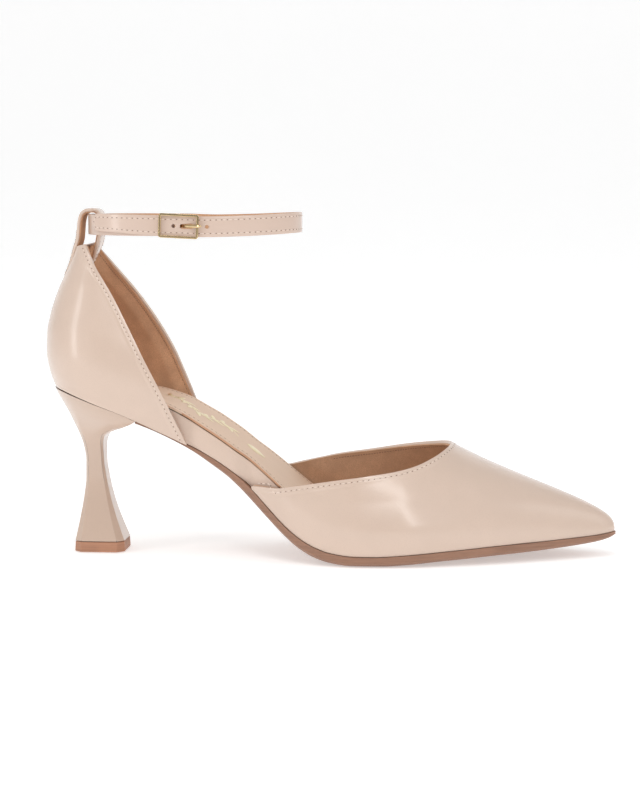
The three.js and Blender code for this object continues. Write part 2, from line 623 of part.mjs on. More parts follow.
const underSock = (x, y) => footbedZ(x, y) - sockWall - gap;
add('heel_cushion', slab({
  from: seatBack + cushionMargin, to: cushionEnd, rows: 10, columns: 4, inset: even(cushionMargin),
  ends: [true, false],
  top: underSock, bottom: (x, y) => underSock(x, y) - cushionWall,
}), finishes.foam);
add('forepart_cushion', slab({
  from: padFrom, to: padTo, rows: 10, columns: 4, inset: even(cushionMargin),
  top: underSock, bottom: (x, y) => underSock(x, y) - cushionWall,
}), finishes.foam);
add('sock', slab({
  from: seatBack + innerDepth + 0.6, to: toeTip - innerDepth - 10, rows: 42, columns: 6, inset: sockInset,
  ends: [true, true], top: footbedZ, bottom: (x, y) => footbedZ(x, y) - sockWall,
}), finishes.sock);

// ---------- heel ----------

// Levels from the base to the seat: X and Z of the back and of the front, half-width, and share of the
// seat's shape.
const baseHalf = heelBaseLength / 2;
const baseLevel = 4.5;
const seatLevel = 69.4;
const heelLevels = [
  [-baseHalf, baseLevel, baseHalf, baseLevel, heelBaseWidth / 2, 0],
  [-9.5, 9, 8.7, 9, 8.7, 0], [-8.3, 15.5, 6.4, 15.5, 7.1, 0.02], [-7.1, 23, 4.2, 23, 5.8, 0.06],
  [-6.3, 31, 2.5, 31, 5, 0.14], [-6.3, 38, 1.5, 38, 4.8, 0.22], [-7.3, 44.6, 1.3, 44.4, 5.6, 0.36],
  [-9.1, 50, 2, 48.6, 7.6, 0.5], [-11.2, 54.8, 4.2, 51.2, 10.8, 0.66], [-13.3, 59.4, 7.6, 52.6, 14.8, 0.8],
  [-15.6, 63.4, 12, 53.6, 19, 0.92], [-18, 67.2, 16.2, 54.6, 22.6, 0.98],
  [seatBack, seatLevel, breast, 56.1, 24.2, 1],
];
const squareSide = [[0, 0], [0, 0.36], [0, 1 - (2 * heelCorner) / heelBaseWidth],
  [heelCorner / heelBaseLength, 1], [0.36, 1], [0.64, 1], [1 - heelCorner / heelBaseLength, 1],
  [1, 1 - (2 * heelCorner) / heelBaseWidth], [1, 0.36], [1, 0]];
const seatPlaces = [0, 0.025, 0.1, 0.25, 0.45, 0.7, 0.95, 1, 1, 1];
const seatShares = [0, 1, 1, 1, 1, 1, 1, 0.985, 0.5, 0];
// Drawn heights in the heel follow the lift below and the seat above.
const heelBase = liftThickness + gap;
const drawnSeat = drawnFeather[0][1];
const heelZ = (z) => heelBase + ((z - baseLevel) * (featherRow(seatBack) - heelBase)) / (drawnSeat - baseLevel);
function heelRing([backAt, backZ, frontAt, frontZ, halfWidth, share], top) {
  const ring = [];
  for (const side of [-1, 1]) {
    const points = squareSide.map(([u, v], i) => {
      const seatX = mix(seatBack, breast, seatPlaces[i]);
      const seatV = (half(seatX, side) / half(8, side)) * seatShares[i];
      const at = mix(u, seatPlaces[i], share);
      const x = mix(backAt, frontAt, at);
      const y = side * halfWidth * mix(v, seatV, share);
      const onSeat = featherZ(x, y) - gap;
      const underSeat = onSeat - (heelZ(seatLevel) - heelZ(backZ));
      return [x, y, top ? onSeat : mix(heelZ(mix(backZ, frontZ, at)), underSeat, share ** 3)];
    });
    ring.push(...(side < 0 ? points : points.slice(1, -1).reverse()));
  }
  return ring;
}
function loft(rings) {
  const n = rings[0].length;
  const vertices = rings.flat();
  const triangles = [];
  for (let i = 0; i < rings.length - 1; i++) {
    for (let j = 0; j < n; j++) {
      const [a, b] = [i * n + j, i * n + ((j + 1) % n)];
      triangles.push([a, b, b + n], [a, b + n, a + n]);
    }
  }
  // The ends are closed with strips between the two sides of the ring.
  const sideCount = n / 2;
  for (const [start, flip] of [[0, 1], [(rings.length - 1) * n, 0]]) {
    for (let j = 0; j < sideCount; j++) {
      const [a, b, c, d] = [start + j, start + j + 1, start + ((n - j - 1) % n), start + ((n - j) % n)];
      const pair = [[a, b, c], [a, c, d]];
      triangles.push(...(flip ? pair.map(([p, q, r]) => [p, r, q]) : pair));
    }
  }
  return body(vertices, triangles);
}
const heelBody = loft(heelLevels.map((level, i) => heelRing(level, i === heelLevels.length - 1)));
const heelTools = [
  post(dowelX, 0, dowelRadius + gap / 2, 0, heelZ(dowelTop) + gap, 16),
  post(screwX, 0, screwRadius + gap / 2, heelZ(screwBottom) - gap, above, 12),
  ...nailPlaces.map(([x, y]) => post(x, y, nailRadius + gap / 2, featherZ(x, y) - nailLength, above, 10)),
];
add('heel_block', cut(heelBody, ...heelTools), finishes.heel);
add('heel_dowel', cut(post(dowelX, 0, dowelRadius, heelBase, heelZ(dowelTop), 16),
  post(dowelX, 0, dowelBore, 0, above, 16)), finishes.steel);
const screwHead = boardTop(screwX, 0) - headDepth;
add('heel_screw', post(screwX, 0, screwRadius, heelZ(screwBottom), screwHead, 12), finishes.steel);
nailPlaces.forEach(([x, y], i) => {
  const foot = featherZ(x, y) - nailLength + gap;
  add(`heel_nail_${i + 1}`, post(x, y, nailRadius, foot, boardTop(x, y) - headDepth, 10), finishes.steel);
});

const liftOutline = [];
for (const side of [-1, 1]) {
  const corners = squareSide.filter((_, i) => [2, 3, 6, 7].includes(i))
    .map(([u, v]) => [mix(-baseHalf, baseHalf, u), (side * v * heelBaseWidth) / 2]);
  liftOutline.push(...(side < 0 ? corners : corners.reverse()));
}
const flare = 1.02; // the lift widens a little to the ground
const liftSheet = {
  points: liftOutline.map(([x, y]) => [x, y, 0]),
  triangles: THREE.ShapeUtils.triangulateShape(liftOutline.map(([x, y]) => new THREE.Vector2(x, y)), []),
};
const liftBody = closed(liftSheet, ([x, y]) => [x * flare, y * flare, 0], ([x, y]) => [x, y, liftThickness]);
add('top_lift', cut(liftBody, post(dowelX, 0, pinRadius + gap / 2, pinFoot - gap, pinTop, 12)), finishes.topLift);
add('top_lift_pin', post(dowelX, 0, pinRadius, pinFoot, pinTop, 12), finishes.steel);

// ---------- ankle strap ----------

// Plan of the strap's ankle side, from the buckle's bar back round the ankle to the bar again.
const [straightRear, straightFront] = ankleStraight;
const anklePath = new THREE.Path()
  .moveTo(barX, -ankleHalf)
  .lineTo(straightRear, -ankleHalf)
  .absellipse(straightRear, 0, straightRear - ankleBack, ankleHalf, -Math.PI / 2, -1.5 * Math.PI, true)
  .lineTo(straightFront, ankleHalf)
  .absellipse(straightFront, 0, ankleFront - straightFront, ankleHalf, Math.PI / 2, -Math.PI / 2, true)
  .lineTo(barX, -ankleHalf);
const ankleLength = anklePath.getLength();

// s is the distance along the strap from the bar; past a full turn the strap lies over its own start.
const tabRoom = barRadius + gap;
const barLevel = strapThickness / 2;
const tabTop = barLevel + tabRoom + tabLeaf;
const overLevel = tabTop + overlapGap;
const level = through([[ankleLength - 24, 0], [ankleLength - 11, overLevel], [ankleLength + 10, overLevel],
  [ankleLength + 18, strapThickness + overlapGap]]);
const tailWidth = through([[ankleLength + 10, strapWidth], [ankleLength + tailLength, strapWidth - tailTaper]]);
const tailLift = through([[ankleLength + 6, 0], [ankleLength + tailLength, tailRise]]);
function strapPoint(s, v, depth) {
  const u = (((s % ankleLength) + ankleLength) % ankleLength) / ankleLength;
  const at = anklePath.getPointAt(u);
  const along = anklePath.getTangentAt(u);
  const out = level(s) + depth;
  return [at.x - along.y * out, at.y + along.x * out, strapMiddle(at.x) + tailLift(s) + (v * tailWidth(s)) / 2];
}
function strapLayer(from, to, inner, outer, edge) {
  const rows = Math.round((to - from) / 5.2);
  const taper = (s) => Math.min(1, Math.sqrt(clamp((ankleLength + tailLength + 0.4 - s) / 5, 0.02, 1)));
  const sheet = weave(steps(rows).map((t) => {
    const s = mix(from, to, t);
    return [-1, 0, 1].map((v) => [s, v * edge * taper(s), 0]);
  }));
  return closed(sheet, ([s, v]) => strapPoint(s, v, inner), ([s, v]) => strapPoint(s, v, outer));
}
const strapStart = 2.6;
const strapEnd = ankleLength + tailLength;
const prongExit = barX + slotCentre;
const punchDepth = 3;
const prongSlot = new THREE.BoxGeometry(slotLength, punchDepth, prongWidth + 2 * gap)
  .translate(prongExit, -(ankleHalf + overLevel + strapThickness / 2), strapMiddle(prongExit));
const spareHoles = [-1, 1, 2].map((k) => {
  const x = barX + firstHole + k * holePitch;
  const out = ankleHalf + overLevel + (k > 1 ? -0.6 : 0.6);
  return new THREE.CylinderGeometry(holeRadius, holeRadius, punchDepth, 10).translate(x, -out, strapMiddle(x));
});
add('strap_outer', cut(strapLayer(strapStart, strapEnd, strapLining + strapGap, strapThickness, 1),
  prongSlot, ...spareHoles), finishes.patent);
add('strap_lining', cut(strapLayer(strapStart, strapEnd - 0.6, 0, strapLining, 0.97), prongSlot, ...spareHoles),
  finishes.lining);

// ---------- buckle ----------

const barZ = strapMiddle(barX);
const buckle = new THREE.Group();
buckle.position.set(barX, -(ankleHalf + barLevel), barZ);
shoe.add(buckle);
function addToBuckle(name, geometry, finish) {
  const piece = new THREE.Mesh(geometry, finish);
  piece.name = name;
  buckle.add(piece);
}
// In the buckle's own frame X runs along the strap, -Y outwards and Z up.
const slice = (shape, height) => new THREE.ExtrudeGeometry(shape, { depth: height, bevelEnabled: false })
  .translate(0, 0, -height / 2);
const ring = (outer, inner) => {
  const shape = new THREE.Shape().absarc(0, 0, outer, 0, 2 * Math.PI);
  shape.holes.push(new THREE.Path().absarc(0, 0, inner, 0, 2 * Math.PI, true));
  return shape;
};

// Leather tab: over the strap's end, round the bar and back under it.
const tabOuter = tabRoom + tabLeaf;
const tab = new THREE.Shape()
  .moveTo(-tabLeg, -tabOuter)
  .lineTo(0, -tabOuter)
  .absarc(0, 0, tabOuter, -Math.PI / 2, Math.PI / 2, false)
  .lineTo(-tabLeg, tabOuter)
  .lineTo(-tabLeg, tabRoom)
  .lineTo(0, tabRoom)
  .absarc(0, 0, tabRoom, Math.PI / 2, -Math.PI / 2, true)
  .lineTo(-tabLeg, -tabRoom);
const prongRoom = new THREE.BoxGeometry(5.6, 6, prongWidth + 2 * gap).translate(1.1, 0, 0);
addToBuckle('buckle_tab', cut(slice(tab, strapWidth - 0.6), prongRoom), finishes.patent);

// Frame: four bars standing clear of the strap, and ears that carry the centre bar under it.
const frameLevel = overLevel + strapThickness - barLevel + frameClear;
const rectangle = (l, h) => new THREE.Shape([[-l, -h], [l, -h], [l, h], [-l, h]]
  .map(([x, z]) => new THREE.Vector2(x / 2, z / 2)));
const frameShape = rectangle(frameLength, frameHeight);
frameShape.holes.push(rectangle(frameLength - 2 * frameBar, frameHeight - 2 * frameBar));
const frame = new THREE.ExtrudeGeometry(frameShape, { depth: frameBar, bevelEnabled: false })
  .rotateX(Math.PI / 2)
  .rotateY(frameTilt)
  .translate(frameX, -frameLevel, 0);
const ears = [-1, 1].map((side) => new THREE.BoxGeometry(1.8, frameLevel + 0.5 + barRadius, earWall)
  .translate(0, -(frameLevel + 0.5 - barRadius) / 2, (side * (frameHeight - earWall)) / 2));
const bar = post(0, 0, barRadius, -(frameHeight - earWall) / 2, (frameHeight - earWall) / 2, 12);
addToBuckle('buckle_frame', join(frame, ...ears, bar), finishes.gold);

// Prong: an eye on the bar and a finger through the strap's hole onto the front bar.
const eye = slice(ring(barRadius + eyeRoom + eyeWall, barRadius + eyeRoom), prongWidth);
const frontBarX = frameX + frameLength / 2 - frameBar / 2;
const restLevel = frameLevel + frameBar + 0.1 + 0.6 * prongThickness;
const tipX = frontBarX + prongReach;
const rise = Math.atan2(restLevel, frontBarX - frameBar / 2);
const fingerLength = tipX / Math.cos(rise);
const finger = new THREE.BoxGeometry(fingerLength, prongThickness, prongWidth)
  .translate(fingerLength / 2, 0, 0)
  .rotateZ(-rise);
const clearBar = post(0, 0, barRadius + eyeRoom, -prongWidth, prongWidth, 16);
addToBuckle('buckle_prong', cut(join(eye, finger), clearBar), finishes.gold);

export default shoe;
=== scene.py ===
"""Visual model of a pointed ankle-strap pump with a flared spool heel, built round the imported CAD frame.

Lengths are millimetres while a piece is worked out, and become metres when its mesh is made. +X points to the
toe, +Z up and +Y to the inner side of the foot; the origin is the middle of the heel's ground face.
"""

import sys

import bisect
import logging
import math
from dataclasses import dataclass, field
from enum import Enum
from typing import Callable, Iterable, Sequence

import bmesh
import bpy
from mathutils import Matrix, Vector
from mathutils.geometry import tessellate_polygon
from mathutils.kdtree import KDTree


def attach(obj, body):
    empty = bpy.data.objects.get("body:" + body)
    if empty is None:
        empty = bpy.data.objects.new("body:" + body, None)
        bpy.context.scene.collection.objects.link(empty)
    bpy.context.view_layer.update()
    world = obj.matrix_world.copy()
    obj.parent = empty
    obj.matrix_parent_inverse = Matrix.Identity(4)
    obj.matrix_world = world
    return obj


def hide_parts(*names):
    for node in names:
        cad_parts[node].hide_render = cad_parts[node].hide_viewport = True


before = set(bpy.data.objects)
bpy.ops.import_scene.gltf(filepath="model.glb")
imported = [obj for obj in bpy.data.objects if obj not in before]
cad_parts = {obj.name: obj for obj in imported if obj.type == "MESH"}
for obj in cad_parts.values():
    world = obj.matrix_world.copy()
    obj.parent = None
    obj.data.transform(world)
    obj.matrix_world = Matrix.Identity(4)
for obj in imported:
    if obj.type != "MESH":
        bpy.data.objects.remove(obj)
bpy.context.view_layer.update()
log = logging.getLogger("pump")

MM = 0.001
UP = Vector((0, 0, 1))
Point = tuple[float, float]
Depth = Callable[[Vector], float]


# ---------- shared maths ----------


def clamp(value: float, low: float, high: float) -> float:
    """Keep a value between two others."""
    return min(high, max(low, value))


def mix(a: float, b: float, t: float) -> float:
    """Blend from a to b."""
    return a + (b - a) * t


def ease(a: float, b: float, x: float) -> float:
    """Smooth step from 0 at a to 1 at b."""
    t = clamp((x - a) / (b - a), 0.0, 1.0)
    return t * t * (3 - 2 * t)


def steps(n: int) -> list[float]:
    """Even shares from 0 to 1 in n steps."""
    return [i / n for i in range(n + 1)]


def round_end(d: float, power: float) -> float:
    """A quarter of a rounded end: 0 at the end, 1 where the rounding stops."""
    return (1 - (1 - clamp(d, 0, 1)) ** power) ** (1 / power)


def circle(count: int) -> list[Point]:
    """Cosine and sine at even steps of one turn."""
    return [(math.cos(a), math.sin(a)) for a in (2 * math.pi * j / count for j in range(count))]


def heading(path: Sequence[Vector], i: int) -> Vector:
    """Direction of a path at one of its points."""
    return (path[min(i + 1, len(path) - 1)] - path[max(i - 1, 0)]).normalized()


class Track:
    """A smooth line through points that never overshoots them."""

    def __init__(self, points: Iterable[Point]) -> None:
        """Work out the tangents.

        Args:
            points: pairs of place and value, with rising places.
        """
        self.at, self.value = (list(v) for v in zip(*points))
        last = len(self.at) - 1
        slope = [(self.value[i + 1] - self.value[i]) / (self.at[i + 1] - self.at[i]) for i in range(last)]
        self.tangent = [slope[0]]
        for a, b in zip(slope, slope[1:]):
            self.tangent.append(0.0 if a * b <= 0 else 2 * a * b / (a + b))
        self.tangent.append(slope[-1])

    def __call__(self, x: float) -> float:
        """Value of the line, level beyond its ends.

        Args:
            x: place along the line.

        Returns:
            The value there.
        """
        if x <= self.at[0]:
            return self.value[0]
        if x >= self.at[-1]:
            return self.value[-1]
        i = bisect.bisect_right(self.at, x) - 1
        w = self.at[i + 1] - self.at[i]
        t = (x - self.at[i]) / w
        t2, t3 = t * t, t * t * t
        start = (2 * t3 - 3 * t2 + 1) * self.value[i] + (t3 - 2 * t2 + t) * w * self.tangent[i]
        end = (3 * t2 - 2 * t3) * self.value[i + 1] + (t3 - t2) * w * self.tangent[i + 1]
        return start + end


def smooth_path(points: Sequence[Vector], count: int) -> list[Vector]:
    """Even points on one smooth curve through a few given ones.

    Args:
        points: the points to pass through.
        count: how many points to return.

    Returns:
        Points from the first to the last.
    """
    reach = [0.0]
    for a, b in zip(points, points[1:]):
        reach.append(reach[-1] + (b - a).length)
    axes = [Track([(r, p[k]) for r, p in zip(reach, points)]) for k in range(3)]
    return [Vector([axis(reach[-1] * t) for axis in axes]) for t in steps(count - 1)]


# ---------- meshes ----------


@dataclass
class Sheet:
    """An open surface: points and the faces between them."""

    points: list[Vector]
    faces: list[tuple[int, ...]]

    def normals(self, outward: int) -> list[Vector]:
        """Area-weighted normals at the points.

        Args:
            outward: 1 or -1, which turns them to the outer side.

        Returns:
            One unit vector for each point.
        """
        sums = [Vector() for _ in self.points]
        for ring in self.faces:
            p = [self.points[i] for i in ring]
            face = (p[2] - p[0]).cross(p[-1] - p[1])
            for i in ring:
                sums[i] += face
        return [n.normalized() * outward for n in sums]


def weave(*patches: list[list[Vector]]) -> Sheet:
    """Join patches of rows to one sheet, sharing the points that fall together.

    Args:
        patches: each a list of rows of points, all rows equally long.

    Returns:
        The sheet.
    """
    points: list[Vector] = []
    seen: dict[tuple[int, ...], int] = {}
    faces = []

    def at(p: Vector) -> int:
        """Number of a point, new or shared.

        Args:
            p: the point.

        Returns:
            Its number.
        """
        key = tuple(round(v * 500) for v in p)
        if key not in seen:
            seen[key] = len(points)
            points.append(p)
        return seen[key]

    for rows in patches:
        ids = [[at(p) for p in row] for row in rows]
        for low, high in zip(ids, ids[1:]):
            for j in range(len(low) - 1):
                ring = list(dict.fromkeys((low[j], low[j + 1], high[j + 1], high[j])))
                if len(ring) > 2:
                    faces.append(tuple(ring))
    return Sheet(points, faces)


def put(name: str, data: bpy.types.ID) -> bpy.types.Object:
    """Stand an object of some data in the scene.

    Args:
        name: name of the object.
        data: its mesh, lamp or camera.

    Returns:
        The object.
    """
    obj = bpy.data.objects.new(name, data)
    bpy.context.scene.collection.objects.link(obj)
    return obj


def make_object(name: str, points: Iterable[Vector], faces: Iterable[Sequence[int]]) -> bpy.types.Object:
    """A smooth object from points in millimetres, with its faces turned outwards.

    Args:
        name: name of the object.
        points: vertices in millimetres.
        faces: rings of vertex numbers.

    Returns:
        The object, linked to the scene.
    """
    mesh = bpy.data.meshes.new(name)
    mesh.from_pydata([p * MM for p in points], [], [tuple(f) for f in faces])
    work = bmesh.new()
    work.from_mesh(mesh)
    bmesh.ops.remove_doubles(work, verts=work.verts, dist=1e-6)
    bmesh.ops.dissolve_degenerate(work, dist=1e-6, edges=work.edges)
    bmesh.ops.recalc_face_normals(work, faces=work.faces)
    for f in work.faces:
        f.smooth = True
    work.to_mesh(mesh)
    work.free()
    return put(name, mesh)


def walled(name: str, sheet: Sheet, outer: list[Vector], inner: list[Vector]) -> bpy.types.Object:
    """A closed wall between two copies of a sheet.

    Args:
        name: name of the object.
        sheet: the sheet whose faces both copies take.
        outer: its points on the outer side.
        inner: its points on the inner side.

    Returns:
        The object.
    """
    count = len(outer)
    faces = list(sheet.faces) + [tuple(i + count for i in reversed(f)) for f in sheet.faces]
    rim: dict[tuple[int, int], None] = {}
    for ring in sheet.faces:
        for a, b in zip(ring, ring[1:] + ring[:1]):
            if (b, a) in rim:
                del rim[(b, a)]
            else:
                rim[(a, b)] = None
    faces += [(a, a + count, b + count, b) for a, b in rim]
    return make_object(name, outer + inner, faces)


def shell(name: str, sheet: Sheet, outward: int, near: Depth, far: Depth) -> bpy.types.Object:
    """A closed wall between two depths below a sheet's outer face.

    Args:
        name: name of the object.
        sheet: the outer face.
        outward: 1 or -1, which side is out.
        near: depth of the wall's outer face at a point.
        far: depth of its inner face.

    Returns:
        The object.
    """
    normals = sheet.normals(outward)
    outer, inner = ([p - n * depth(p) for p, n in zip(sheet.points, normals)] for depth in (near, far))
    return walled(name, sheet, outer, inner)


def bands(rings: int, count: int, closed: bool = False) -> list[tuple[int, ...]]:
    """Faces between neighbouring rings of points.

    Args:
        rings: how many rings there are.
        count: how many points each ring has.
        closed: whether the last ring joins the first.

    Returns:
        The faces, as numbers of points that are counted ring by ring.
    """
    faces = []
    for i in range(rings if closed else rings - 1):
        low, high = i * count, (i + 1) % rings * count
        for j in range(count):
            k = (j + 1) % count
            faces.append((low + j, low + k, high + k, high + j))
    return faces


def loft(name: str, rings: Sequence[Sequence[Vector]], closed: bool = False) -> bpy.types.Object:
    """A skin over rings of points.

    Args:
        name: name of the object.
        rings: the rings, all equally long.
        closed: whether the last ring joins the first; if not, both ends get a flat face.

    Returns:
        The object.
    """
    points = [p for ring in rings for p in ring]
    count = len(rings[0])
    faces = bands(len(rings), count, closed)
    if not closed:
        faces += [tuple(range(count - 1, -1, -1)), tuple(range(len(points) - count, len(points)))]
    return make_object(name, points, faces)


def soften(obj: bpy.types.Object, width: float, angle: float = 40, segments: int = 3) -> bpy.types.Object:
    """Round the sharp edges of an object.

    Args:
        obj: the object.
        width: size of the rounding in millimetres.
        angle: edges that turn more than this many degrees are rounded.
        segments: faces across a rounding.

    Returns:
        The same object, with its modifiers applied.
    """
    bevel = obj.modifiers.new("rounding", "BEVEL")
    bevel.width = width * MM
    bevel.segments = segments
    bevel.limit_method = "ANGLE"
    bevel.angle_limit = math.radians(angle)
    bevel.use_clamp_overlap = True
    obj.modifiers.new("shading", "WEIGHTED_NORMAL").keep_sharp = True
    return applied(obj)


def applied(obj: bpy.types.Object) -> bpy.types.Object:
    """Turn an object's modifiers into its mesh.

    Args:
        obj: the object.

    Returns:
        The same object, without modifiers.
    """
    graph = bpy.context.evaluated_depsgraph_get()
    mesh = bpy.data.meshes.new_from_object(obj.evaluated_get(graph))
    obj.modifiers.clear()
    obj.data = mesh
    return obj


def punched(obj: bpy.types.Object, tools: Sequence[bpy.types.Object]) -> bpy.types.Object:
    """Cut tools out of an object and drop the tools.

    Args:
        obj: the object.
        tools: closed objects that take away what lies in them.

    Returns:
        The same object.
    """
    for tool in tools:
        cut = obj.modifiers.new("hole", "BOOLEAN")
        cut.operation = "DIFFERENCE"
        cut.solver = "EXACT"
        cut.object = tool
    applied(obj)
    for tool in tools:
        bpy.data.objects.remove(tool)
    return obj


@dataclass
class Station:
    """One section along a strip: its middle, its two directions, and its sizes."""

    centre: Vector
    across: Vector
    out: Vector
    width: float
    wall: float
    bend: float = 0.0


def section_shape(width: float, wall: float, crown: float, rounding: float = 0.42, corner: int = 3,
                  flat: int = 8) -> list[Point]:
    """Outline of a strip's section, with rounded edges and a crowned outer face.

    Args:
        width: size across the strip.
        wall: thickness at the edges.
        crown: how far the middle of the outer face stands up.
        rounding: radius of the corners as a share of the smaller size.
        corner: faces in each rounded corner.
        flat: faces across each broad side.

    Returns:
        Pairs of place across and place outwards, in order round the section.
    """
    radius = min(wall, width) * rounding
    a, b = width / 2 - radius, wall / 2 - radius
    ring = []
    for quarter, (x, z) in enumerate(((a, b), (-a, b), (-a, -b), (a, -b))):
        for k in range(corner + 1):
            angle = math.pi / 2 * (quarter + k / corner)
            ring.append((x + radius * math.cos(angle), z + radius * math.sin(angle)))
        if quarter in (0, 2):
            edge = ring[-1]
            for k in range(1, flat):
                place = mix(edge[0], -edge[0], k / flat)
                lift = crown * (1 - (place / a) ** 2) if quarter == 0 else 0.0
                ring.append((place, edge[1] + lift))
    return ring


def strip(name: str, stations: Sequence[Station], crown: float = 0.0, closed: bool = False,
          rounding: float = 0.42) -> bpy.types.Object:
    """Sweep a rounded strip through its stations.

    Args:
        name: name of the object.
        stations: the sections, in order.
        crown: how far the outer face stands up in the middle.
        closed: whether the strip's ends meet.
        rounding: radius of the section's corners as a share of its smaller size.

    Returns:
        The object.
    """
    rings = []
    for s in stations:
        shape = section_shape(s.width, s.wall, crown * min(1.0, s.width / 4), rounding)
        rings.append([s.centre + s.across * a + s.out * (out - s.bend * a ** 2) for a, out in shape])
    return loft(name, rings, closed)


def plan_stations(path: Sequence[Vector], across: Vector, width: float, wall: float) -> list[Station]:
    """Stations of a strip whose width runs one fixed way.

    Args:
        path: middle line of the strip.
        across: direction of its width.
        width: its width.
        wall: its thickness.

    Returns:
        One station for each point of the path.
    """
    return [Station(p, across, heading(path, i).cross(across).normalized(), width, wall)
            for i, p in enumerate(path)]


def tube(name: str, path: Sequence[Vector], radii: Sequence[float], sides: int = 12) -> bpy.types.Object:
    """A round rod along a path, with closed ends.

    Args:
        name: name of the object.
        path: middle line.
        radii: radius at each point.
        sides: faces round it.

    Returns:
        The object.
    """
    rings = []
    for i, (p, radius) in enumerate(zip(path, radii)):
        along = heading(path, i)
        side = UP.cross(along)
        side = side.normalized() if side.length > 1e-6 else Vector((1, 0, 0))
        up = along.cross(side).normalized()
        rings.append([p + (side * c + up * s) * radius for c, s in circle(sides)])
    return loft(name, rings)


def prism(name: str, outline: Sequence[Vector], shift: Vector) -> bpy.types.Object:
    """A flat outline drawn out along a vector.

    Args:
        name: name of the object.
        outline: the outline, in order.
        shift: the vector.

    Returns:
        The object.
    """
    n = len(outline)
    triangles = [tuple(t) for t in tessellate_polygon([outline])]
    faces = triangles + [tuple(i + n for i in reversed(t)) for t in triangles]
    faces += bands(2, n)
    return make_object(name, [*outline, *(p + shift for p in outline)], faces)


# ---------- finishes ----------


def plug(tree: bpy.types.NodeTree, socket: bpy.types.NodeSocket, value: object) -> None:
    """Feed an input socket.

    Args:
        tree: the node tree.
        socket: the input.
        value: an output socket to link, or a value to set.
    """
    if isinstance(value, bpy.types.NodeSocket):
        tree.links.new(value, socket)
    else:
        socket.default_value = value


def add_node(tree: bpy.types.NodeTree, kind: str, **inputs: object) -> bpy.types.Node:
    """Add a node and feed its inputs.

    Args:
        tree: the node tree.
        kind: type of the node.
        inputs: values or output sockets for its inputs, with _ for a space.

    Returns:
        The node.
    """
    node = tree.nodes.new(kind)
    for key, value in inputs.items():
        plug(tree, node.inputs[key.replace("_", " ")], value)
    return node


class Recipe:
    """A material under construction: a Principled shader and what feeds it."""

    def __init__(self, name: str, **constants: float | tuple[float, ...]) -> None:
        """Start a material.

        Args:
            name: its name.
            constants: values set on the shader's own sockets, with _ for a space.
        """
        self.material = bpy.data.materials.new(name + "_finish")
        self.material.use_nodes = True
        self.tree = self.material.node_tree
        self.shader = self.tree.nodes["Principled BSDF"]
        for key, value in constants.items():
            self.shader.inputs[key.replace("_", " ")].default_value = value
        self.place = self.add("ShaderNodeTexCoord").outputs["Object"]

    def add(self, kind: str, **inputs: object) -> bpy.types.Node:
        """Add a node to the material's tree and feed its inputs."""
        return add_node(self.tree, kind, **inputs)

    def noise(self, size: float, detail: float = 3.0) -> bpy.types.NodeSocket:
        """Soft noise whose features are about size millimetres across."""
        node = self.add("ShaderNodeTexNoise", Vector=self.place, Scale=1 / (size * MM), Detail=detail)
        return node.outputs["Fac"]

    def cells(self, size: float) -> bpy.types.NodeSocket:
        """Distance in a pattern of cells about size millimetres across."""
        node = self.add("ShaderNodeTexVoronoi", Vector=self.place, Scale=1 / (size * MM))
        return node.outputs["Distance"]

    def ramp(self, value: bpy.types.NodeSocket, low: float, high: float) -> bpy.types.NodeSocket:
        """Stretch a value so that low becomes 0 and high becomes 1."""
        node = self.add("ShaderNodeMapRange", Value=value, From_Min=low, From_Max=high)
        return node.outputs["Result"]

    def spread(self, value: bpy.types.NodeSocket, low: float, high: float) -> bpy.types.NodeSocket:
        """Squeeze a value so that 0 becomes low and 1 becomes high."""
        node = self.add("ShaderNodeMapRange", Value=value, To_Min=low, To_Max=high)
        return node.outputs["Result"]

    def blend(self, share: bpy.types.NodeSocket, a: object, b: object) -> bpy.types.NodeSocket:
        """Mix two colours.

        Args:
            share: 0 for the first, 1 for the second.
            a: the first colour, or an output socket.
            b: the second.

        Returns:
            The mixed colour.
        """
        node = self.tree.nodes.new("ShaderNodeMix")
        node.data_type = "RGBA"
        # A mix node has its colour inputs at 6 and 7 and its colour output at 2.
        for key, value in (("Factor", share), (6, a), (7, b)):
            plug(self.tree, node.inputs[key], value)
        return node.outputs[2]

    def bump(self, height: bpy.types.NodeSocket, depth: float, under: object = None) -> bpy.types.NodeSocket:
        """Raise the surface by a height map.

        Args:
            height: values from 0 to 1.
            depth: what 1 stands for, in millimetres.
            under: normal of a coarser bump below this one.

        Returns:
            The normal.
        """
        node = self.add("ShaderNodeBump", Height=height, Strength=1.0, Distance=depth * MM)
        if under is not None:
            self.tree.links.new(under, node.inputs["Normal"])
        return node.outputs["Normal"]

    def feed(self, **sockets: bpy.types.NodeSocket) -> bpy.types.Material:
        """Link sockets to the shader.

        Args:
            sockets: output sockets for the shader's inputs, with _ for a space.

        Returns:
            The finished material.
        """
        for key, socket in sockets.items():
            self.tree.links.new(socket, self.shader.inputs[key.replace("_", " ")])
        return self.material


def linear(red: int, green: int, blue: int) -> tuple[float, float, float, float]:
    """A colour given on the usual 0 to 255 scale, as the shader wants it."""
    return (*((c / 255) ** 2.2 for c in (red, green, blue)), 1.0)


def shade(colour: tuple[float, ...], amount: float) -> tuple[float, float, float, float]:
    """The same colour, darker or lighter by a factor."""
    return (*(min(1.0, c * amount) for c in colour[:3]), 1.0)


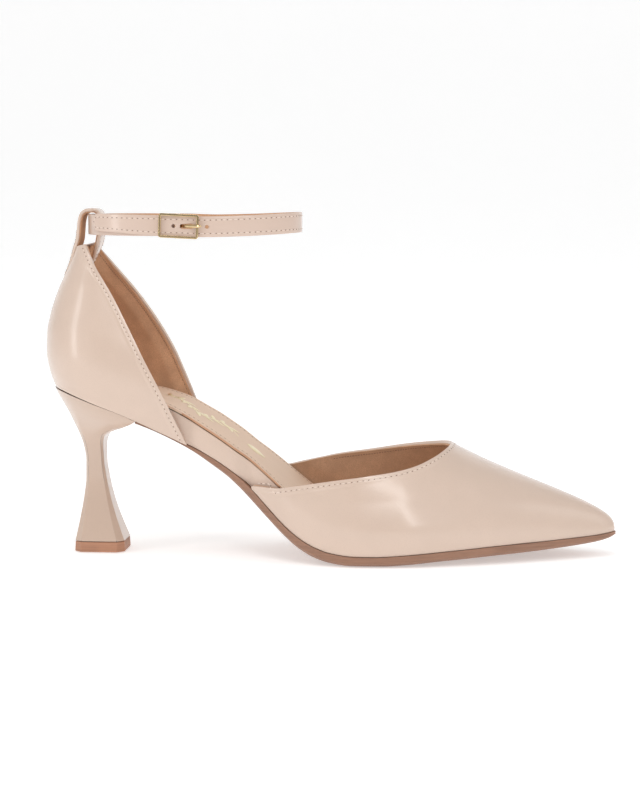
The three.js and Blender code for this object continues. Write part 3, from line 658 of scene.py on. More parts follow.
@dataclass(frozen=True)
class Leather:
    """A finished leather: soft mottling, pores and a lacquer over them."""

    name: str
    colour: tuple[float, ...]
    roughness: float = 0.38
    lacquer: float = 0.85
    lacquer_roughness: float = 0.19
    pore: float = 0.55
    pore_depth: float = 0.012
    ripple_depth: float = 0.035

    def make(self) -> bpy.types.Material:
        """Build the material.

        Returns:
            The material.
        """
        r = Recipe(self.name, Coat_Weight=self.lacquer, Coat_Roughness=self.lacquer_roughness, Coat_IOR=1.5,
                   IOR=1.46)
        mottle = r.ramp(r.noise(14.0, 4.0), 0.35, 0.68)
        tone = r.blend(mottle, shade(self.colour, 0.985), shade(self.colour, 1.015))
        pores = r.ramp(r.cells(self.pore), 0.0, 0.42)
        dark = r.blend(pores, shade(self.colour, 0.94), tone)
        rough = r.ramp(r.noise(5.0, 3.0), 0.0, 1.0)
        spread = r.spread(rough, self.roughness - 0.06, self.roughness + 0.08)
        ripple = r.bump(r.noise(9.0, 2.0), self.ripple_depth)
        grain = r.bump(r.noise(self.pore * 1.6, 5.0), self.pore_depth * 1.2, ripple)
        return r.feed(Base_Color=dark, Roughness=spread, Normal=r.bump(pores, self.pore_depth, grain))


@dataclass(frozen=True)
class Suede:
    """A napped lining: short fibres that lie in soft strokes."""

    name: str
    colour: tuple[float, ...]
    nap: float = 0.35
    sheen: float = 0.45

    def make(self) -> bpy.types.Material:
        """Build the material.

        Returns:
            The material.
        """
        r = Recipe(self.name, Sheen_Weight=self.sheen, Sheen_Roughness=0.45,
                   Sheen_Tint=shade(self.colour, 1.5))
        r.shader.inputs["Specular IOR Level"].default_value = 0.18
        strokes = r.ramp(r.noise(7.0, 5.0), 0.36, 0.66)
        tone = r.blend(strokes, shade(self.colour, 0.84), shade(self.colour, 1.12))
        fibres = r.noise(self.nap, 8.0)
        speck = r.blend(r.ramp(fibres, 0.3, 0.7), shade(self.colour, 0.72), tone)
        rough = r.spread(strokes, 0.78, 0.95)
        return r.feed(Base_Color=speck, Roughness=rough, Normal=r.bump(fibres, 0.06))


@dataclass(frozen=True)
class SoleStock:
    """Sole leather or rubber: a coarser face and a few rubbed patches."""

    name: str
    colour: tuple[float, ...]
    roughness: float = 0.42
    fleck: float = 0.9

    def make(self) -> bpy.types.Material:
        """Build the material.

        Returns:
            The material.
        """
        r = Recipe(self.name)
        layers = r.add("ShaderNodeMapping", Vector=r.place, Scale=(60.0, 60.0, 1400.0)).outputs["Vector"]
        grain = r.add("ShaderNodeTexNoise", Vector=layers, Scale=1.0, Detail=4.0).outputs["Fac"]
        tone = r.blend(r.ramp(grain, 0.35, 0.65), shade(self.colour, 0.86), shade(self.colour, 1.08))
        worn = r.blend(r.ramp(r.noise(18.0, 6.0), 0.55, 0.78), tone, shade(self.colour, 1.22))
        flecks = r.noise(self.fleck, 6.0)
        rough = r.spread(flecks, self.roughness - 0.1, self.roughness + 0.16)
        return r.feed(Base_Color=worn, Roughness=rough, Normal=r.bump(flecks, 0.03, r.bump(grain, 0.02)))


@dataclass(frozen=True)
class PlatedMetal:
    """Plated or plain metal, with a fine polish grain."""

    name: str
    colour: tuple[float, ...]
    roughness: float = 0.1

    def make(self) -> bpy.types.Material:
        """Build the material.

        Returns:
            The material.
        """
        r = Recipe(self.name, Metallic=1.0)
        smudge = r.noise(2.5, 5.0)
        tone = r.blend(r.ramp(smudge, 0.35, 0.7), shade(self.colour, 0.93), shade(self.colour, 1.04))
        rough = r.spread(smudge, self.roughness * 0.7, self.roughness * 1.5)
        return r.feed(Base_Color=tone, Roughness=rough, Normal=r.bump(r.noise(1.5, 2.0), 0.002))


@dataclass(frozen=True)
class Fill:
    """Stock that lies inside the shoe: board, cork, foam or stiffener."""

    name: str
    colour: tuple[float, ...]
    grain: float = 0.8
    contrast: float = 0.25
    depth: float = 0.08

    def make(self) -> bpy.types.Material:
        """Build the material.

        Returns:
            The material.
        """
        r = Recipe(self.name, Roughness=0.92)
        crumbs = r.cells(self.grain)
        tone = r.blend(r.ramp(crumbs, 0.0, 0.7), shade(self.colour, 1 - self.contrast), self.colour)
        cloud = r.blend(r.ramp(r.noise(12.0, 4.0), 0.3, 0.7), tone, shade(self.colour, 1.06))
        return r.feed(Base_Color=cloud, Normal=r.bump(crumbs, self.depth))


@dataclass(frozen=True)
class Thread:
    """Sewing thread with a tight twist."""

    name: str
    colour: tuple[float, ...]

    def make(self) -> bpy.types.Material:
        """Build the material.

        Returns:
            The material.
        """
        r = Recipe(self.name, Sheen_Weight=0.2)
        plies = r.noise(0.14, 4.0)
        tone = r.blend(r.ramp(plies, 0.35, 0.65), shade(self.colour, 0.8), shade(self.colour, 1.08))
        rough = r.spread(plies, 0.45, 0.7)
        return r.feed(Base_Color=tone, Roughness=rough, Normal=r.bump(plies, 0.03))


MADE: dict[str, bpy.types.Material] = {}


class Finish(Enum):
    """The finishes of this shoe, each with its recipe."""

    UPPER = Leather("upper_patent", linear(213, 189, 172))
    HEEL = Leather("heel_cover_patent", linear(203, 178, 160), roughness=0.36)
    STRAP = Leather("strap_patent", linear(212, 187, 171), pore=0.4)
    WRAP = Leather("waist_leather", linear(213, 189, 172), roughness=0.45, lacquer=0.35,
                   lacquer_roughness=0.3)
    SOCK = Leather("sock_leather", linear(227, 198, 174), roughness=0.6, lacquer=0.0, lacquer_roughness=0.4,
                   pore=0.45, pore_depth=0.02)
    BINDING = Leather("sock_edge", linear(196, 148, 116), roughness=0.5, lacquer=0.2, lacquer_roughness=0.35)
    LINING = Suede("lining_suede", linear(214, 166, 131))
    VAMP_LINING = Suede("vamp_lining_suede", linear(209, 167, 136))
    OUTSOLE = SoleStock("outsole_leather", linear(149, 111, 90))
    TOP_LIFT = SoleStock("top_lift_stock", linear(175, 127, 101), roughness=0.5, fleck=0.6)
    GOLD = PlatedMetal("gold_plate", (0.74, 0.56, 0.32, 1.0))
    FOIL = PlatedMetal("gold_foil", (0.95, 0.82, 0.56, 1.0), roughness=0.34)
    STEEL = PlatedMetal("steel", (0.56, 0.56, 0.58, 1.0), roughness=0.3)
    THREAD = Thread("thread_nude", linear(236, 217, 203))
    LINING_THREAD = Thread("thread_brown", linear(140, 104, 80))
    # Dark brown for the needle holes: painted shade where the thread dives into the leather.
    HOLE_SHADE = Thread("needle_hole_shade", linear(122, 90, 70))
    BOARD = Fill("fibreboard", linear(154, 123, 88), grain=0.6)
    CORK = Fill("cork_filler", linear(176, 136, 92), grain=1.6, contrast=0.45, depth=0.2)
    FOAM = Fill("foam", linear(230, 220, 203), grain=0.9, contrast=0.12)
    STIFFENER = Fill("stiffener", linear(216, 210, 194), grain=0.7, contrast=0.1)

    @property
    def material(self) -> bpy.types.Material:
        """The finish's material, made once.

        Returns:
            The material.
        """
        if self.value.name not in MADE:
            MADE[self.value.name] = self.value.make()
        return MADE[self.value.name]


@dataclass(frozen=True)
class Home:
    """Where a piece belongs: its body and the name of its material slot."""

    body: str
    slot: str


SHOE_PATENT = Home("shoe", "patent_leather")
SHOE_LINING = Home("shoe", "lining_suede")
SHOE_SOCK = Home("shoe", "sock_leather")
STRAP_PATENT = Home("ankle_strap", "patent_leather")
STRAP_LINING = Home("ankle_strap", "lining_suede")


def dress(obj: bpy.types.Object, finish: Finish | None, home: Home, *nodes: str) -> bpy.types.Object:
    """Give a piece its finish and its body, and hide the CAD nodes that it stands for.

    Args:
        obj: the piece.
        finish: its finish, or None where the mesh already has its materials.
        home: its body and material slot.
        nodes: CAD nodes that it replaces.

    Returns:
        The piece.
    """
    if finish is not None:
        obj.data.materials.clear()
        obj.data.materials.append(finish.material)
    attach(obj, home.body)
    if nodes:
        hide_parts(*nodes)
    log.info("%s: %d faces, rides on %s", obj.name, len(obj.data.polygons), home.body)
    return obj


# ---------- stitching ----------


@dataclass
class Seam:
    """A row of machine stitches along a line on a surface."""

    name: str
    home: Home
    thread: Finish = Finish.THREAD
    pitch: float = 2.3
    length: float = 1.45
    width: float = 0.42
    height: float = 0.34
    # Size of the dark bead of painted shade at each needle hole.
    hole: float = 0.46
    lines: list[tuple[list[Vector], list[Vector]]] = field(default_factory=list)

    def along(self, points: list[Vector], out: list[Vector]) -> None:
        """Add a line of stitches.

        Args:
            points: the line, on the surface.
            out: the surface's normal at each point.
        """
        self.lines.append((points, out))

    def tree(self) -> bpy.types.NodeTree:
        """Node tree that lays one stitch and, for its needle hole, a dark bead of painted shade at every
        pitch of a line.

        Returns:
            The tree, made once and shared by every seam.
        """
        found = bpy.data.node_groups.get("stitch_row")
        if found:
            return found
        tree = bpy.data.node_groups.new("stitch_row", "GeometryNodeTree")
        face = tree.interface
        face.new_socket("Geometry", in_out="INPUT", socket_type="NodeSocketGeometry")
        for name in ("Pitch", "Length", "Width", "Height", "Hole"):
            face.new_socket(name, in_out="INPUT", socket_type="NodeSocketFloat")
        face.new_socket("Thread", in_out="INPUT", socket_type="NodeSocketMaterial")
        face.new_socket("Hole Shade Material", in_out="INPUT", socket_type="NodeSocketMaterial")
        face.new_socket("Geometry", in_out="OUTPUT", socket_type="NodeSocketGeometry")

        def add(kind: str, **inputs: object) -> bpy.types.Node:
            """Add a node to this tree."""
            return add_node(tree, kind, **inputs)

        def turned(axis: str, pivot: str, vector: bpy.types.NodeSocket,
                   **inputs: object) -> bpy.types.NodeSocket:
            """Turn an axis towards a vector.

            Args:
                axis: the axis that is turned.
                pivot: the axis it turns about, or AUTO.
                vector: where it ends up pointing.
                inputs: what else the node takes.

            Returns:
                The rotation.
            """
            node = add("FunctionNodeAlignRotationToVector", Vector=vector, **inputs)
            node.axis = axis
            node.pivot_axis = pivot
            return node.outputs["Rotation"]

        def times(value: bpy.types.NodeSocket, factor: float) -> bpy.types.NodeSocket:
            """Multiply a length.

            Args:
                value: the length.
                factor: what it is multiplied by.

            Returns:
                The product.
            """
            node = add("ShaderNodeMath")
            node.operation = "MULTIPLY"
            plug(tree, node.inputs[0], value)
            plug(tree, node.inputs[1], factor)
            return node.outputs["Value"]

        given = add("NodeGroupInput").outputs
        curve = add("GeometryNodeMeshToCurve", Mesh=given["Geometry"]).outputs["Curve"]
        row = add("GeometryNodeResampleCurve", Curve=curve)
        row.mode = "LENGTH"
        plug(tree, row.inputs["Length"], given["Pitch"])
        bead = add("GeometryNodeMeshUVSphere", Segments=10, Rings=6, Radius=0.5).outputs["Mesh"]
        size = add("ShaderNodeCombineXYZ", X=given["Length"], Y=given["Width"], Z=given["Height"])
        stitch = add("GeometryNodeTransform", Geometry=bead, Scale=size.outputs["Vector"]).outputs["Geometry"]
        stitch = add("GeometryNodeSetMaterial", Geometry=stitch, Material=given["Thread"]).outputs["Geometry"]
        # The needle holes are flat dark beads, painted shade for the hollow of each hole, half a pitch on
        # from the stitches.
        hole = given["Hole"]
        hole_size = add("ShaderNodeCombineXYZ", X=hole, Y=hole, Z=times(hole, 0.35))
        shift = add("ShaderNodeCombineXYZ", X=times(given["Pitch"], 0.5))
        hole_shade = add("GeometryNodeTransform", Geometry=bead, Translation=shift.outputs["Vector"],
                  Scale=hole_size.outputs["Vector"]).outputs["Geometry"]
        hole_shade = add("GeometryNodeSetMaterial", Geometry=hole_shade,
                  Material=given["Hole Shade Material"]).outputs["Geometry"]
        both = add("GeometryNodeJoinGeometry")
        for part in (stitch, hole_shade):
            tree.links.new(part, both.inputs["Geometry"])
        out = add("GeometryNodeInputNamedAttribute", Name="out")
        out.data_type = "FLOAT_VECTOR"
        turn = turned("X", "AUTO", add("GeometryNodeInputTangent").outputs["Tangent"])
        roll = turned("Z", "X", out.outputs["Attribute"], Rotation=turn)
        placed = add("GeometryNodeInstanceOnPoints", Points=row.outputs["Curve"],
                     Instance=both.outputs["Geometry"], Rotation=roll)
        real = add("GeometryNodeRealizeInstances", Geometry=placed.outputs["Instances"])
        smooth = add("GeometryNodeSetShadeSmooth", Geometry=real.outputs["Geometry"])
        add("NodeGroupOutput", Geometry=smooth.outputs["Geometry"])
        return tree

    def make(self) -> bpy.types.Object:
        """Sew the seam and dress it.

        Returns:
            One object with every stitch of every line.
        """
        mesh = bpy.data.meshes.new(self.name)
        points = [p for line, _ in self.lines for p in line]
        edges, start = [], 0
        for line, _ in self.lines:
            edges += [(start + i, start + i + 1) for i in range(len(line) - 1)]
            start += len(line)
        mesh.from_pydata([p * MM for p in points], edges, [])
        layer = mesh.attributes.new("out", "FLOAT_VECTOR", "POINT")
        for i, n in enumerate(n for _, out in self.lines for n in out):
            layer.data[i].vector = n
        obj = put(self.name, mesh)
        tree = self.tree()
        modifier = obj.modifiers.new("stitches", "NODES")
        modifier.node_group = tree
        values = {
            "Pitch": self.pitch * MM, "Length": self.length * MM, "Width": self.width * MM,
            "Height": self.height * MM, "Hole": self.hole * MM, "Thread": self.thread.material,
            "Hole Shade Material": Finish.HOLE_SHADE.material,
        }
        for item in tree.interface.items_tree:
            if item.item_type == "SOCKET" and item.in_out == "INPUT" and item.name in values:
                modifier[item.identifier] = values[item.name]
        applied(obj)
        return dress(obj, None, self.home)


def beside(points: list[Vector], out: list[Vector], inset: float, rise: float, side: int) -> list[Vector]:
    """A line that runs beside another on the same surface.

    Args:
        points: the line, such as the edge of a piece.
        out: the surface's normal at each point.
        inset: distance from the line along the surface.
        rise: distance above the surface.
        side: 1 or -1, which way along the surface.

    Returns:
        The new line.
    """
    return [p + n.cross(heading(points, i)).normalized() * inset * side + n * rise
            for i, (p, n) in enumerate(zip(points, out))]


class Nearness:
    """Distance from any point to a line."""

    def __init__(self, points: Sequence[Vector], spacing: float = 0.3) -> None:
        """Sample the line closely.

        Args:
            points: the line.
            spacing: distance between samples.
        """
        samples = []
        for a, b in zip(points, points[1:]):
            count = max(1, math.ceil((b - a).length / spacing))
            samples += [a.lerp(b, k / count) for k in range(count)]
        samples.append(points[-1])
        self.tree = KDTree(len(samples))
        for i, p in enumerate(samples):
            self.tree.insert(p, i)
        self.tree.balance()

    def __call__(self, p: Vector) -> float:
        """Distance from p to the line."""
        return self.tree.find(p)[2]


@dataclass(frozen=True)
class Fold:
    """Relief of a leather edge that is folded over and sewn down."""

    width: float = 2.5
    rise: float = 0.24
    seam: float = 1.5
    groove: float = 0.13

    def __call__(self, distance: float) -> float:
        """Height of the leather over its flat face at a distance from the edge."""
        band = self.rise * (1 - ease(self.width - 0.45, self.width + 0.45, distance))
        return band - self.groove * math.exp(-(((distance - self.seam) / 0.34) ** 2))


# ---------- the last ----------


@dataclass
class Last:
    """The form the shoe is built on, with the same lines as the CAD model."""

    gap: float = 0.3
    upper: float = 1.1
    stiffener: float = 0.8
    lining: float = 0.7
    facet: float = 0.15
    sock: float = 1.0
    wrap: float = 0.9
    seat_back: float = -19.1
    breast: float = 18.2
    throat: float = 147.3
    toe: float = 215.6
    toe_round: float = 7.0
    heel_round: float = 27.0
    heel_power: float = 2.1

    def __post_init__(self) -> None:
        """Work out the depths and the lines."""
        self.stiffener_depth = self.upper + self.gap + self.facet
        self.lining_depth = self.stiffener_depth + self.stiffener + self.gap + self.facet
        self.inner_depth = self.lining_depth + self.lining
        toe = self.toe
        self.middle = Track([(20, 0), (100, 0), (150, 1.6), (190, 3), (toe, 3.8)])
        self.width = {
            -1: Track([(-20, 24.6), (8, 24.6), (22, 23.4), (40, 20.6), (52, 19.6), (62, 20.6), (72, 24),
                       (84, 29.5), (98, 34.5), (112, 37), (128, 36.5), (146, 33), (165, 27), (185, 18.6),
                       (200, 11.4), (210, 6.6), (toe, 4.2)]),
            1: Track([(-20, 24), (8, 24), (22, 22.5), (40, 19.3), (52, 18.5), (62, 19.5), (72, 23), (84, 28),
                      (98, 32.5), (112, 35.5), (128, 37), (146, 34), (165, 27.6), (185, 18.6), (200, 11.2),
                      (210, 6.4), (toe, 4.2)]),
        }
        self.feather = Track([
            (-19.1, 69.7), (-12.9, 68.3), (-5.8, 66), (1.4, 63.4), (8.5, 60.8), (15.3, 58), (20, 55.9),
            (26.6, 52.7), (33, 49.6), (39, 46.7), (45.4, 43.6), (52.1, 39.5), (58.9, 34.8), (65.2, 29.5),
            (71.4, 23.2), (77.8, 16.8), (83.3, 12.2), (88.6, 8.8), (93.8, 6.5), (99, 5), (108, 4), (118, 3.9),
            (128.5, 4.5), (150, 6), (169.5, 7.2), (190, 8), (204.9, 8.7), (toe, 9.6)])
        self.arch = Track([(8, 0), (30, 2.4), (48, 3.2), (66, 3), (84, 1.6), (104, 0)])
        self.under = Track([
            (18, 55.2), (26.6, 51.7), (33.4, 48.2), (41.8, 43.4), (48.6, 38.5), (55.7, 33.3), (61.3, 28.2),
            (67.1, 22.4), (73.7, 15.9), (79.9, 10.3), (86.2, 5.6), (92.5, 2.5), (99, 0.8), (107, 0), (121, 0),
            (130, 0.5), (143.8, 1.6), (159.8, 2.6), (176, 3.5), (192.4, 4.5), (204.9, 5.6), (212.6, 6.9),
            (toe, 7.9)])
        self.footbed = Track([
            (-17, 74.2), (-8, 72.8), (2, 70.7), (12, 68.2), (22, 65.9), (33, 62.2), (44.7, 55.6), (55, 48.8),
            (65.4, 41.2), (73, 35.2), (80, 29.4), (88, 22.9), (96, 17.4), (104, 13.2), (112, 11.1),
            (122, 10.6), (135, 10.9), (160, 12.2), (185, 13.4), (206, 14.4)])
        inner = self.inner_depth
        self.waist = {
            -1: Track([(30, inner + 0.5), (36, 2.2), (40, 1.9), (47, 0.6), (57, 0.5), (66, 2.7), (154, 2.7),
                       (170, inner + 1), (216, inner + 1)]),
            1: Track([(30, inner + 0.5), (38, 2.4), (43, 2.0), (50, 0.6), (57, 0.5), (66, 2.7), (154, 2.7),
                      (170, inner + 1), (216, inner + 1)]),
        }

    def half(self, x: float, side: int, inset: float = 0.0) -> float:
        """Half-width at x.

        Args:
            x: place along the shoe.
            side: -1 for the outer side of the foot, 1 for the inner.
            inset: how far the whole outline is moved in.

        Returns:
            Distance from the middle line.
        """
        full = self.width[side](x) - inset
        heel = round_end((x - self.seat_back - inset) / (self.heel_round - inset), self.heel_power)
        return full * heel * round_end((self.toe - inset - x) / self.toe_round, 2)

    def edge(self, x: float, side: int, inset: float = 0.0) -> float:
        """Y of the outline at x."""
        return self.middle(x) + side * self.half(x, side, inset)

    def rise(self, x: float, y: float) -> float:
        """How much the inner side of the arch lies above the outer side."""
        lateral, medial = self.width[-1](x), self.width[1](x)
        return self.arch(x) * clamp((y + lateral) / (lateral + medial), 0, 1)

    def feather_z(self, x: float, y: float) -> float:
        """Height of the outsole's top edge."""
        return self.feather(x) + self.rise(x, y)

    def under_z(self, x: float, y: float) -> float:
        """Height of the outsole's ground side."""
        return self.under(x) + self.rise(x, y)

    def footbed_z(self, x: float, y: float) -> float:
        """Height of the sock's top."""
        return self.footbed(x) + self.rise(x, y)


@dataclass
class Slab:
    """A flat-lying piece of the sole between two heights."""

    last: Last
    start: float
    end: float
    inset: Callable[[float, int], float]
    top: Callable[[float, float], float]
    bottom: Callable[[float, float], float]
    rows: int = 150
    columns: int = 24
    round_start: bool = False
    round_end: bool = False
    crowd: float = 0.28

    def make(self, name: str) -> bpy.types.Object:
        """Build the piece.

        Args:
            name: name of the object.

        Returns:
            The object.
        """
        grid = []
        for t in steps(self.rows):
            back = math.sin(math.pi * t) * (1 - t) if self.round_start else 0.0
            ahead = math.sin(math.pi * t) * t if self.round_end else 0.0
            x = mix(self.start, self.end, t + self.crowd * (ahead - back))
            low = self.last.edge(x, -1, self.inset(x, -1))
            high = self.last.edge(x, 1, self.inset(x, 1))
            # Columns gather at the edges, where the piece is rounded.
            grid.append([Vector((x, mix(low, high, (1 - math.cos(math.pi * u)) / 2), 0))
                         for u in steps(self.columns)])
        sheet = weave(grid)
        top, bottom = ([Vector((p.x, p.y, level(p.x, p.y))) for p in sheet.points]
                       for level in (self.top, self.bottom))
        return walled(name, sheet, top, bottom)


# ---------- upper ----------


@dataclass
class Vamp:
    """The closed front of the shoe, with its lining and its sewn topline."""

    last: Last
    rear: float = 66.0
    power: float = 2.1
    bulge: float = 1.3
    bulge_height: float = 22.0
    bulge_fade: float = 40.0
    puff_rear: float = 172.0
    tuck: float = 0.15
    tuck_height: float = 1.6
    hug: float = 1.14
    fold: Fold = Fold()

    def __post_init__(self) -> None:
        """Work out the ridge and the toplines."""
        last = self.last
        self.ridge = Track([
            (62, 102), (80, 89), (100, 73), (120, 59.5), (135, 51.8), (last.throat, 46.4), (160.9, 39.8),
            (175.9, 33.5), (192.6, 26.8), (204.2, 21.7), (210.5, 18.2), (213.5, 15.8), (215.2, 13.2),
            (last.toe, 11)])
        self.topline = {
            -1: Track([(64, 30.2), (67, 30.5), (76, 30.4), (84, 31.5), (92, 33), (103, 34.8), (115, 36.4),
                       (125, 37.8), (133, 39.6), (141, 42.8), (145, 45), (147.3, 46.4)]),
            1: Track([(64, 32.6), (72, 32.9), (77.5, 33.7), (84.5, 35.2), (91.5, 36.6), (98.4, 38),
                      (112.3, 40), (126.8, 42.6), (140.4, 45), (147.3, 46.4)]),
        }

    def point(self, x: float, theta: float) -> Vector:
        """A point of the outer face.

        Args:
            x: place along the shoe.
            theta: 0 at the outer feather, pi/2 on the ridge, pi at the inner feather.

        Returns:
            The point.
        """
        last = self.last
        c = math.cos(theta)
        side = -1 if c >= 0 else 1
        reach = abs(c) ** (2 / self.power)
        height = abs(math.sin(theta)) ** (2 / self.power)
        base = last.feather_z(x, last.edge(x, side)) + last.gap
        z = mix(base, self.ridge(x), height)
        out = self.bulge * math.sin(math.pi * clamp((z - base) / self.bulge_height, 0, 1))
        out *= clamp((last.toe - x) / self.bulge_fade, 0, 1)
        # The swelling dies away towards the ridge, so that both sides meet there without a crease.
        out *= ease(0, 0.35, reach)
        return Vector((x, last.middle(x) + side * (last.half(x, side) * reach + out), z))

    def cut_angle(self, x: float, side: int) -> float:
        """Angle at which the topline cuts a section.

        Args:
            x: place along the shoe.
            side: -1 for the outer side of the foot, 1 for the inner.

        Returns:
            The angle, counted as in point().
        """
        base = self.last.feather_z(x, self.last.edge(x, side)) + self.last.gap
        share = clamp((self.topline[side](x) - base) / (self.ridge(x) - base), 0.006, 1)
        angle = math.asin(min(1.0, share ** (self.power / 2)))
        return angle if side < 0 else math.pi - angle

    def sheet(self, rear_rows: int = 110, front_rows: int = 90, columns: int = 34) -> Sheet:
        """The outer face, with rows gathered at the throat and columns at the topline.

        Args:
            rear_rows: rows behind the throat.
            front_rows: rows ahead of it.
            columns: points across each side of a row.

        Returns:
            The sheet.
        """
        last = self.last
        behind = [mix(self.rear, last.throat, math.sin(math.pi * t / 2)) for t in steps(rear_rows)]
        ahead = [mix(last.throat, last.toe, t) for t in
                 (mix(s ** 1.5, math.sin(math.pi * s / 2), ease(0.3, 1, s)) for s in steps(front_rows))]
        shares = [1 - (1 - u) ** 1.7 for u in steps(columns)]

        def arc(x: float, start: float, end: float, near_end: bool) -> list[Vector]:
            """Points along part of a section.

            Args:
                x: place along the shoe.
                start: angle of the first point.
                end: angle of the last.
                near_end: whether they gather at the last point and not at the first.

            Returns:
                The points.
            """
            even = ease(0, 20, x - last.throat)
            places = [mix(s, u, even) for s, u in zip(shares, steps(columns))]
            if not near_end:
                places = [1 - p for p in reversed(places)]
            return [self.point(x, mix(start, end, p)) for p in places]

        half_turn = math.pi / 2
        lateral = [arc(x, 0, half_turn if x >= last.throat else self.cut_angle(x, -1), True) for x in behind]
        medial = [arc(x, half_turn if x >= last.throat else self.cut_angle(x, 1), math.pi, False)
                  for x in behind]
        front = [[arc(x, 0, half_turn, True) for x in ahead],
                 [arc(x, half_turn, math.pi, False) for x in ahead]]
        return weave(lateral, medial, *front)

    def edge_line(self) -> tuple[list[Vector], list[Vector]]:
        """The topline from the outer rear round the throat to the inner rear.

        Returns:
            Its points, and the normals of the outer face there.
        """
        xs = [mix(self.rear, self.last.throat - 0.02, math.sin(math.pi * t / 2)) for t in steps(160)]
        places = [(x, self.cut_angle(x, -1)) for x in xs] + [(x, self.cut_angle(x, 1)) for x in reversed(xs)]
        points, normals = [], []
        for x, angle in places:
            p = self.point(x, angle)
            along = self.point(x + 0.4, angle) - self.point(x - 0.4, angle)
            around = self.point(x, angle + 0.02) - self.point(x, angle - 0.02)
            n = around.cross(along).normalized()
            points.append(p)
            normals.append(n if n.z > 0 else -n)
        return points, normals

    def make(self) -> None:
        """Build the vamp, its lining and its stitching."""
        last = self.last
        sheet = self.sheet()
        edge, normals = self.edge_line()
        near_edge = Nearness(edge)

        def relief(p: Vector) -> float:
            """Depth of the outer face: folded at the topline, tucked in at the feather line.

            Args:
                p: a point of the sheet.

            Returns:
                The depth, less than 0 where the leather stands up.
            """
            side = -1 if p.y < last.middle(p.x) else 1
            above = p.z - last.feather_z(p.x, last.edge(p.x, side)) - last.gap
            tuck = self.tuck * (1 - clamp(above / self.tuck_height, 0, 1)) ** 2
            return tuck - self.fold(near_edge(p))

        outer = shell("vamp", sheet, -1, relief, lambda p: last.upper)
        dress(soften(outer, 0.32), Finish.UPPER, SHOE_PATENT, "vamp_outer")

        def lining_depth(p: Vector) -> float:
            """Depth of the lining's outer face."""
            flat = mix(self.hug, last.upper + last.gap, ease(0, 6, near_edge(p)))
            return mix(flat, last.lining_depth, ease(self.puff_rear - 16, self.puff_rear - 2, p.x))

        lining = shell("vamp_inside", sheet, -1, lining_depth, lambda p: lining_depth(p) + last.lining)
        dress(soften(lining, 0.2), Finish.VAMP_LINING, SHOE_LINING, "vamp_lining")
        seam = Seam("vamp_topline_stitches", SHOE_PATENT, length=1.35, width=0.36, height=0.26)
        rise = self.fold(self.fold.seam) + 0.02
        row = beside(edge, normals, self.fold.seam, rise, 1)
        if row[40].z > edge[40].z:
            row = beside(edge, normals, self.fold.seam, rise, -1)
        seam.along(row[4:-4], normals[4:-4])
        seam.make()
        # The needle passes through the lining too, so the row shows again inside.
        depth = self.hug + last.lining + 0.08
        inside = [p - n * (depth + self.fold(self.fold.seam)) for p, n in zip(row, normals)]
        through = Seam("vamp_lining_stitches", SHOE_LINING, Finish.LINING_THREAD, length=1.2, width=0.34,
                       height=0.26)
        through.along(inside[40:-40], [-n for n in normals[40:-40]])
        through.make()


